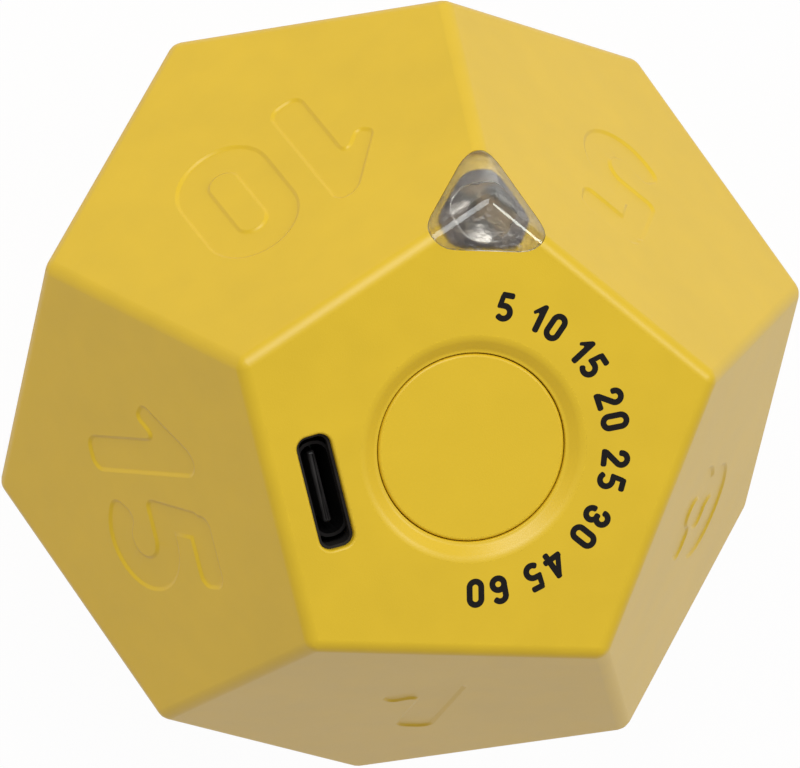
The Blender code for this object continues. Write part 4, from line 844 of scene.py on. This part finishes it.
# Finishes: sizes of their noise, heights of their bumps and their colours
SHELL_GRAIN = 0.00016
SHELL_CLOUD = 0.0125
SHELL_PATCH = 0.0032
SHELL_BUMP = 0.000012
RESIN_WAVE = 0.0011
RESIN_BUMP = 0.00001
LENS_WAVE = 0.0013
LENS_BUMP = 0.00018
LENS_FRONT_SHARE = 0.05
CLEAR_IOR = 1.52
PLASTIC_GRAIN = 0.00025
PLASTIC_CLOUD = 0.002
PLASTIC_BUMP = 0.000006
SHIELD_PATCH = 0.0016
ROLLING_MARK = 0.0006
ROLLING_STRETCH = (1.0, 9.0, 1.0)
METAL_BUMP = 0.000004
INK_GRAIN = 0.00012
INK_BUMP = 0.000003
BOARD_CELLS_PER_METRE = 420.0
BOARD_GRAIN = 0.0003
BOARD_BUMP = 0.00003
FOIL_CREASE = 0.004
FOIL_GRAIN = 0.0007
FOIL_BUMP = 0.0003
FOAM_CELLS_PER_METRE = 2600.0
FOAM_BUMP = -0.0001
YELLOW = (0.750, 0.497, 0.018)
MILKY = (0.90, 0.84, 0.76)
CLEAR = (1.0, 0.985, 0.96)
SHIELD_GREYS = ((0.035, 0.028, 0.032), (0.20, 0.165, 0.135))
# Pale cream painted in the shield's bore as painted light
BORE_PAINTED_LIGHT = (0.97, 0.78, 0.52)
INK_BLACKS = ((0.006, 0.005, 0.005), (0.011, 0.009, 0.009))
BOARD_GREENS = ((0.012, 0.10, 0.035), (0.03, 0.20, 0.07))
FOIL_SILVERS = ((0.52, 0.52, 0.54), (0.68, 0.68, 0.70))
FOAM_GREYS = ((0.11, 0.11, 0.12), (0.05, 0.05, 0.055))


class Value:
    """A number that changes over a surface, for arithmetic in node form."""

    def __init__(self, tree, socket):
        self.tree = tree
        self.socket = socket

    def math(self, operation, first, second):
        return self.tree.node("Math", {"operation": operation}, {0: first, 1: second})

    def __add__(self, other):
        return self.math("ADD", self, other)

    def __radd__(self, other):
        return self.math("ADD", other, self)

    def __sub__(self, other):
        return self.math("SUBTRACT", self, other)

    def __rsub__(self, other):
        return self.math("SUBTRACT", other, self)

    def __mul__(self, other):
        return self.math("MULTIPLY", self, other)

    def __rmul__(self, other):
        return self.math("MULTIPLY", other, self)

    def larger(self, other):
        return self.math("MAXIMUM", self, other)


class Tree:
    """The nodes of a material or of the world."""

    def __init__(self, owner):
        owner.use_nodes = True
        self.nodes = owner.node_tree.nodes
        self.links = owner.node_tree.links

    def node(self, kind, settings=None, inputs=None, output=0):
        """A node of this kind: its settings first, then its sockets."""
        made = self.nodes.new(f"ShaderNode{kind}")
        for name, setting in (settings or {}).items():
            setattr(made, name, setting)
        for name, value in (inputs or {}).items():
            self.feed(made.inputs[name], value)
        return Value(self, made.outputs[output])

    def feed(self, socket, value):
        """Link a value to a socket, or set a plain one."""
        if isinstance(value, Value):
            self.links.new(value.socket, socket)
        elif isinstance(value, tuple) and len(value) == 3 and socket.type == "RGBA":
            socket.default_value = (*value, 1)
        else:
            socket.default_value = value

    def seen_white(self, surface, lit_share, *sights):
        """Mostly plain white for camera rays and these others, over the lit surface."""
        seen = self.node("LightPath", output="Is Camera Ray")
        for sight in sights:
            seen = seen.larger(self.node("LightPath", output=sight))
        white = self.node("Emission")
        return self.node("MixShader", None, {0: seen * (1 - lit_share), 1: surface, 2: white})


class Finish(Tree):
    """A material made of nodes, on one Principled shader."""

    def __init__(self, name):
        self.material = bpy.data.materials.new(name)
        super().__init__(self.material)
        self.shader = self.nodes["Principled BSDF"]
        self.place = self.node("TexCoord", output="Object")

    def shade(self, **values):
        """Feed the shader's sockets, named with underscores for spaces."""
        for name, value in values.items():
            self.feed(self.shader.inputs[name.replace("_", " ")], value)
        return self.material

    def noise(self, size, detail=2.0, roughness=0.5, place=None):
        """Soft noise with features of about this size in metres."""
        return self.node("TexNoise", None, {
            "Vector": place or self.place, "Scale": 1 / size, "Detail": detail, "Roughness": roughness})

    def from_middle(self):
        """The place, from the middle of the solid."""
        return self.node("VectorMath", {"operation": "SUBTRACT"},
                         {0: self.place, 1: MIDDLE.to_translation()})

    def along(self, spot, direction):
        """How far a place lies along a direction."""
        return self.node("VectorMath", {"operation": "DOT_PRODUCT"}, {0: spot, 1: direction}, "Value")

    def away_from(self, spot, direction):
        """How far a place lies from the line in this direction."""
        sideways = self.node("VectorMath", {"operation": "CROSS_PRODUCT"}, {0: spot, 1: direction})
        return self.node("VectorMath", {"operation": "LENGTH"}, {0: sideways}, "Value")

    def ramp(self, value, low, high, start=0.0, end=1.0):
        """Stretch a value from one range onto another, and keep it there."""
        return self.node("MapRange", {"clamp": True}, {
            "Value": value, "From Min": low, "From Max": high, "To Min": start, "To Max": end})

    def mix(self, share, first, second):
        """A colour between two others."""
        return self.node("Mix", {"data_type": "RGBA"}, {0: share, 6: first, 7: second}, 2)

    def bump(self, height, distance):
        """A normal from a height."""
        return self.node("Bump", None, {"Height": height, "Distance": distance})


def shell_plastic(name, colour, blotch):
    """Moulded plastic with a fine spark-eroded grain and a faint unevenness in its colour."""
    finish = Finish(name)
    grain = finish.noise(SHELL_GRAIN, 3.0, 0.6)
    cloud = finish.noise(SHELL_CLOUD)
    patch = finish.noise(SHELL_PATCH)
    deep = tuple(channel * (1 - blotch) for channel in colour)
    tone = finish.ramp(cloud * 0.6 + patch * 0.4, 0.3, 0.7)
    return finish.shade(
        Base_Color=finish.mix(tone, deep, colour),
        Roughness=0.33 + 0.08 * grain + 0.03 * patch,
        Normal=finish.bump(grain, SHELL_BUMP))


def light_resin():
    """Faintly milky clear resin, with the waviness of its surface."""
    finish = Finish("light_resin")
    wave = finish.noise(RESIN_WAVE, 1.0)
    return finish.shade(
        Base_Color=MILKY, Roughness=0.12, IOR=CLEAR_IOR, Transmission_Weight=0.92,
        Normal=finish.bump(wave, RESIN_BUMP))


def lens_plastic():
    """Clear plastic, polished on the three facets, with wavy and duller walls round and behind them."""
    finish = Finish("lens_clear")
    spot = finish.from_middle()
    turns = [LENS_TURN + math.pi + index * THIRD_TURN for index in range(3)]
    walls = [finish.along(spot, LENS_AXIS.to_3x3() @ polar(1, turn)) for turn in turns]
    outermost = walls[0].larger(walls[1]).larger(walls[2])
    round_it = finish.ramp(outermost, LENS_APOTHEM - LENS_GAP - WALL_BAND, LENS_APOTHEM - LENS_GAP)
    height = finish.along(spot, LENS_DIRECTION)
    behind_it = finish.ramp(height, SEAT_DISTANCE + 2 * FIT_GAP, SEAT_DISTANCE + 3 * FIT_GAP, 1.0, 0.0)
    dull = round_it.larger(behind_it)
    wave = finish.noise(LENS_WAVE) * (LENS_FRONT_SHARE + (1 - LENS_FRONT_SHARE) * behind_it)
    return finish.shade(
        Base_Color=CLEAR, Roughness=0.03 + 0.25 * dull, IOR=CLEAR_IOR, Transmission_Weight=1.0,
        Normal=finish.bump(wave, LENS_BUMP))


def dark_plastic(name, colour, roughness, sheen=0.5):
    """Dark moulded plastic with a soft sheen."""
    finish = Finish(name)
    grain = finish.noise(PLASTIC_GRAIN, 3.0, 0.6)
    tone = finish.ramp(finish.noise(PLASTIC_CLOUD), 0.3, 0.7)
    lighter = tuple(channel * 1.5 + 0.004 for channel in colour)
    return finish.shade(
        Base_Color=finish.mix(tone, colour, lighter), Roughness=roughness + 0.12 * (grain - 0.5),
        Specular_IOR_Level=sheen, Normal=finish.bump(grain, PLASTIC_BUMP))


def shield_plastic():
    """Grey plastic in soft patches; its bore round the light is painted pale cream as painted light, and kept
    grey near the mouth as painted shade.
    """
    finish = Finish("shield_grey_painted_bore_light")
    spot = finish.from_middle()
    # Painted light: pale cream on the bore wall, fading to grey towards the mouth as painted shade over its
    # lit rim
    inside = finish.ramp(finish.away_from(spot, LENS_DIRECTION), SHIELD_BORE_RADIUS + BORE_PAINTED_LIGHT_START,
                         SHIELD_BORE_RADIUS + BORE_PAINTED_LIGHT_END, 1.0, 0.0)
    mouth = SEAT_DISTANCE - LENS_SPIGOT
    depth = finish.ramp(finish.along(spot, LENS_DIRECTION), mouth - BORE_PAINTED_LIGHT_DEPTH, mouth, 1.0, 0.12)
    patch = finish.ramp(finish.noise(SHIELD_PATCH, 3.0, 0.6), 0.40, 0.60)
    grey = finish.mix(patch, *SHIELD_GREYS)
    return finish.shade(Base_Color=finish.mix(inside * depth, grey, BORE_PAINTED_LIGHT), Roughness=0.35)


def bare_metal(name, colour, roughness):
    """Plated sheet metal with fine rolling marks."""
    finish = Finish(name)
    stretched = finish.node("Mapping", None, {"Vector": finish.place, "Scale": ROLLING_STRETCH})
    marks = finish.noise(ROLLING_MARK, 3.0, 0.6, stretched)
    tone = finish.ramp(marks, 0.3, 0.7)
    deep = tuple(channel * 0.82 for channel in colour)
    return finish.shade(
        Base_Color=finish.mix(tone, deep, colour), Metallic=1.0, Roughness=roughness + 0.15 * marks,
        Normal=finish.bump(marks, METAL_BUMP))


def printed_ink():
    """Matt black ink, a little uneven at its finest."""
    finish = Finish("printed_ink")
    fine = finish.noise(INK_GRAIN)
    return finish.shade(
        Base_Color=finish.mix(finish.ramp(fine, 0.35, 0.65), *INK_BLACKS),
        Roughness=0.50 + 0.12 * fine, Specular_IOR_Level=0.15, Normal=finish.bump(fine, INK_BUMP))


def board_laminate():
    """Green solder mask with paler copper runs under it."""
    finish = Finish("solder_mask")
    cells = finish.node("TexVoronoi", {"feature": "DISTANCE_TO_EDGE"},
                        {"Vector": finish.place, "Scale": BOARD_CELLS_PER_METRE})
    runs = finish.ramp(cells, 0.06, 0.09, 1.0, 0.0)
    fine = finish.noise(BOARD_GRAIN)
    return finish.shade(
        Base_Color=finish.mix(runs, *BOARD_GREENS),
        Roughness=0.32 + 0.1 * fine, Normal=finish.bump(runs, BOARD_BUMP))


def pouch_foil():
    """Silver pouch foil, softly creased."""
    finish = Finish("pouch_foil")
    crease = finish.noise(FOIL_CREASE, 4.0, 0.55)
    fine = finish.noise(FOIL_GRAIN)
    return finish.shade(
        Base_Color=finish.mix(finish.ramp(crease, 0.3, 0.7), *FOIL_SILVERS),
        Metallic=0.85, Roughness=0.28 + 0.12 * fine, Normal=finish.bump(crease, FOIL_BUMP))


def pad_foam():
    """Dark closed-cell foam."""
    finish = Finish("closed_cell_foam")
    cells = finish.node("TexVoronoi", {"feature": "F1"},
                        {"Vector": finish.place, "Scale": FOAM_CELLS_PER_METRE})
    return finish.shade(
        Base_Color=finish.mix(finish.ramp(cells, 0.2, 0.8), *FOAM_GREYS),
        Roughness=0.85 + 0.1 * cells, Normal=finish.bump(cells, FOAM_BUMP))


FINISHES = {
    "shell_plastic": shell_plastic("shell_yellow", YELLOW, 0.07),
    "button_plastic": shell_plastic("button_yellow", YELLOW, 0.04),
    "lens_plastic": lens_plastic(),
    "light_resin": light_resin(),
    "leg_metal": bare_metal("leg_tinned", (0.66, 0.66, 0.68), 0.22),
    "socket_metal": bare_metal("socket_blackened", (0.026, 0.024, 0.024), 0.50),
    "tongue_plastic": dark_plastic("tongue_black", (0.022, 0.020, 0.020), 0.36),
    "surround_rubber": dark_plastic("surround_black", (0.013, 0.011, 0.010), 0.55, 0.2),
    "board_laminate": board_laminate(),
    "screw_steel": bare_metal("screw_zinc", (0.62, 0.62, 0.64), 0.24),
    "switch_plastic": dark_plastic("switch_black", (0.018, 0.018, 0.019), 0.40),
    "switch_steel": bare_metal("switch_cover_steel", (0.64, 0.64, 0.66), 0.20),
    "chip_resin": dark_plastic("chip_black", (0.020, 0.020, 0.022), 0.50),
    "crystal_steel": bare_metal("crystal_can", (0.68, 0.68, 0.70), 0.16),
    "buzzer_plastic": dark_plastic("sounder_black", (0.016, 0.016, 0.017), 0.45),
    "jack_plastic": dark_plastic("jack_cream", (0.60, 0.58, 0.52), 0.45),
    "cell_foil": pouch_foil(),
    "pad_foam": pad_foam(),
    "red_sleeve": dark_plastic("lead_red_sleeve", (0.42, 0.015, 0.015), 0.35),
    "black_sleeve": dark_plastic("lead_black_sleeve", (0.012, 0.012, 0.013), 0.35),
}


def dress(item, body, slot, *nodes, finish=None):
    """Finish a new piece, and say what it rides on and stands for."""
    item.data.materials.clear()
    item.data.materials.append(finish or FINISHES[slot])
    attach(item, body)
    if nodes:
        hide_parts(*nodes)
    return item


def dress_frame():
    """Each CAD node takes the finish of its slot, which its own material names."""
    slots = {name: item.data.materials[0].name.split(".")[0] for name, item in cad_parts.items()}
    for name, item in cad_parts.items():
        item.data.materials.clear()
        item.data.materials.append(FINISHES[slots[name]])


# Camera, from a fit to the corners that the photograph shows
CAMERA_PLACE = (-0.28933, 0.22162, 1.25116)
CAMERA_TURN = (-10.914, -12.598, 4.061)
SENSOR_WIDTH = 36.0
FOCAL_LENGTH = 629.8
CLIP_START = 0.05
CLIP_END = 20.0

# Lamps, each as its width, power, turn, angle above level and colour
LAMP_DISTANCE = 1.2
LAMPS = {
    "key": (0.65, 8.25, math.radians(110), math.radians(50), (0.94, 1.0, 1.0)),
    "side": (0.28, 3.35, math.radians(29.6), math.radians(47), (0.95, 1.0, 0.92)),
}

# Floor and surroundings
FLOOR_REACH = 3.0
FLOOR_COLOUR = (0.80, 0.69, 0.67)
FLOOR_LIT_SHARE = 0.03
SKY_COLOUR = (1.0, 0.95, 0.93)
SKY_STRENGTH = 0.424


def camera():
    """The photograph's camera."""
    data = bpy.data.cameras.new("camera")
    data.sensor_width = SENSOR_WIDTH
    data.lens = FOCAL_LENGTH
    data.clip_start = CLIP_START
    data.clip_end = CLIP_END
    item = bpy.data.objects.new("camera", data)
    item.location = CAMERA_PLACE
    item.rotation_euler = [math.radians(turn) for turn in CAMERA_TURN]
    bpy.context.scene.collection.objects.link(item)
    bpy.context.scene.camera = item


def lamp(name, size, power, turn, elevation, colour):
    """A soft square lamp that faces the timer."""
    data = bpy.data.lights.new(name, "AREA")
    data.size = size
    data.energy = power
    data.color = colour
    item = bpy.data.objects.new(name, data)
    direction = polar(math.cos(elevation), turn, math.sin(elevation))
    item.location = direction * LAMP_DISTANCE + Vector((0, 0, FACE_LEVEL))
    item.rotation_euler = direction.to_track_quat("Z", "Y").to_euler()
    bpy.context.scene.collection.objects.link(item)


def floor():
    """Plain white floor that keeps a faint shadow."""
    form = bmesh.new()
    bmesh.ops.create_grid(form, x_segments=1, y_segments=1, size=FLOOR_REACH)
    item = solid("floor", form, Matrix())
    finish = Finish("floor_white")
    finish.shade(Base_Color=FLOOR_COLOUR, Roughness=0.9, Specular_IOR_Level=0.0)
    lit = Value(finish, finish.shader.outputs[0])
    surface = finish.seen_white(lit, FLOOR_LIT_SHARE, "Is Glossy Ray", "Is Transmission Ray")
    finish.feed(finish.nodes["Material Output"].inputs["Surface"], surface)
    item.data.materials.append(finish.material)


def surroundings():
    """Soft white surroundings, seen as plain white."""
    world = bpy.data.worlds.new("surroundings")
    bpy.context.scene.world = world
    tree = Tree(world)
    background = tree.nodes["Background"]
    tree.feed(background.inputs["Color"], SKY_COLOUR)
    tree.feed(background.inputs["Strength"], SKY_STRENGTH)
    surface = tree.seen_white(Value(tree, background.outputs[0]), 0.0)
    tree.feed(tree.nodes["World Output"].inputs["Surface"], surface)


def build():
    """The whole scene."""
    dress_frame()
    soften(dress(upper_shell(), "case", "shell_plastic", "upper_shell"))
    soften(dress(lower_shell(), "case", "shell_plastic", "lower_shell"))
    soften(dress(button(), "button", "button_plastic", "button_cap"))
    soften(dress(lens(), "case", "lens_plastic", "corner_lens"), LENS_CREASE_ANGLE)
    soften(dress(light_body(), "case", "light_resin", "light"))
    soften(dress(light_frame(), "case", "leg_metal"))
    soften(dress(light_shield(), "case", "surround_rubber", finish=shield_plastic()))
    soften(dress(surround(), "case", "surround_rubber", "port_surround"))
    soften(dress(tongue(), "case", "tongue_plastic", "socket_tongue"))
    dress(print_ring(), "case", "shell_plastic", finish=printed_ink())
    camera()
    for name, facts in LAMPS.items():
        lamp(name, *facts)
    floor()
    surroundings()
    bpy.context.scene.view_settings.view_transform = "Standard"


build()
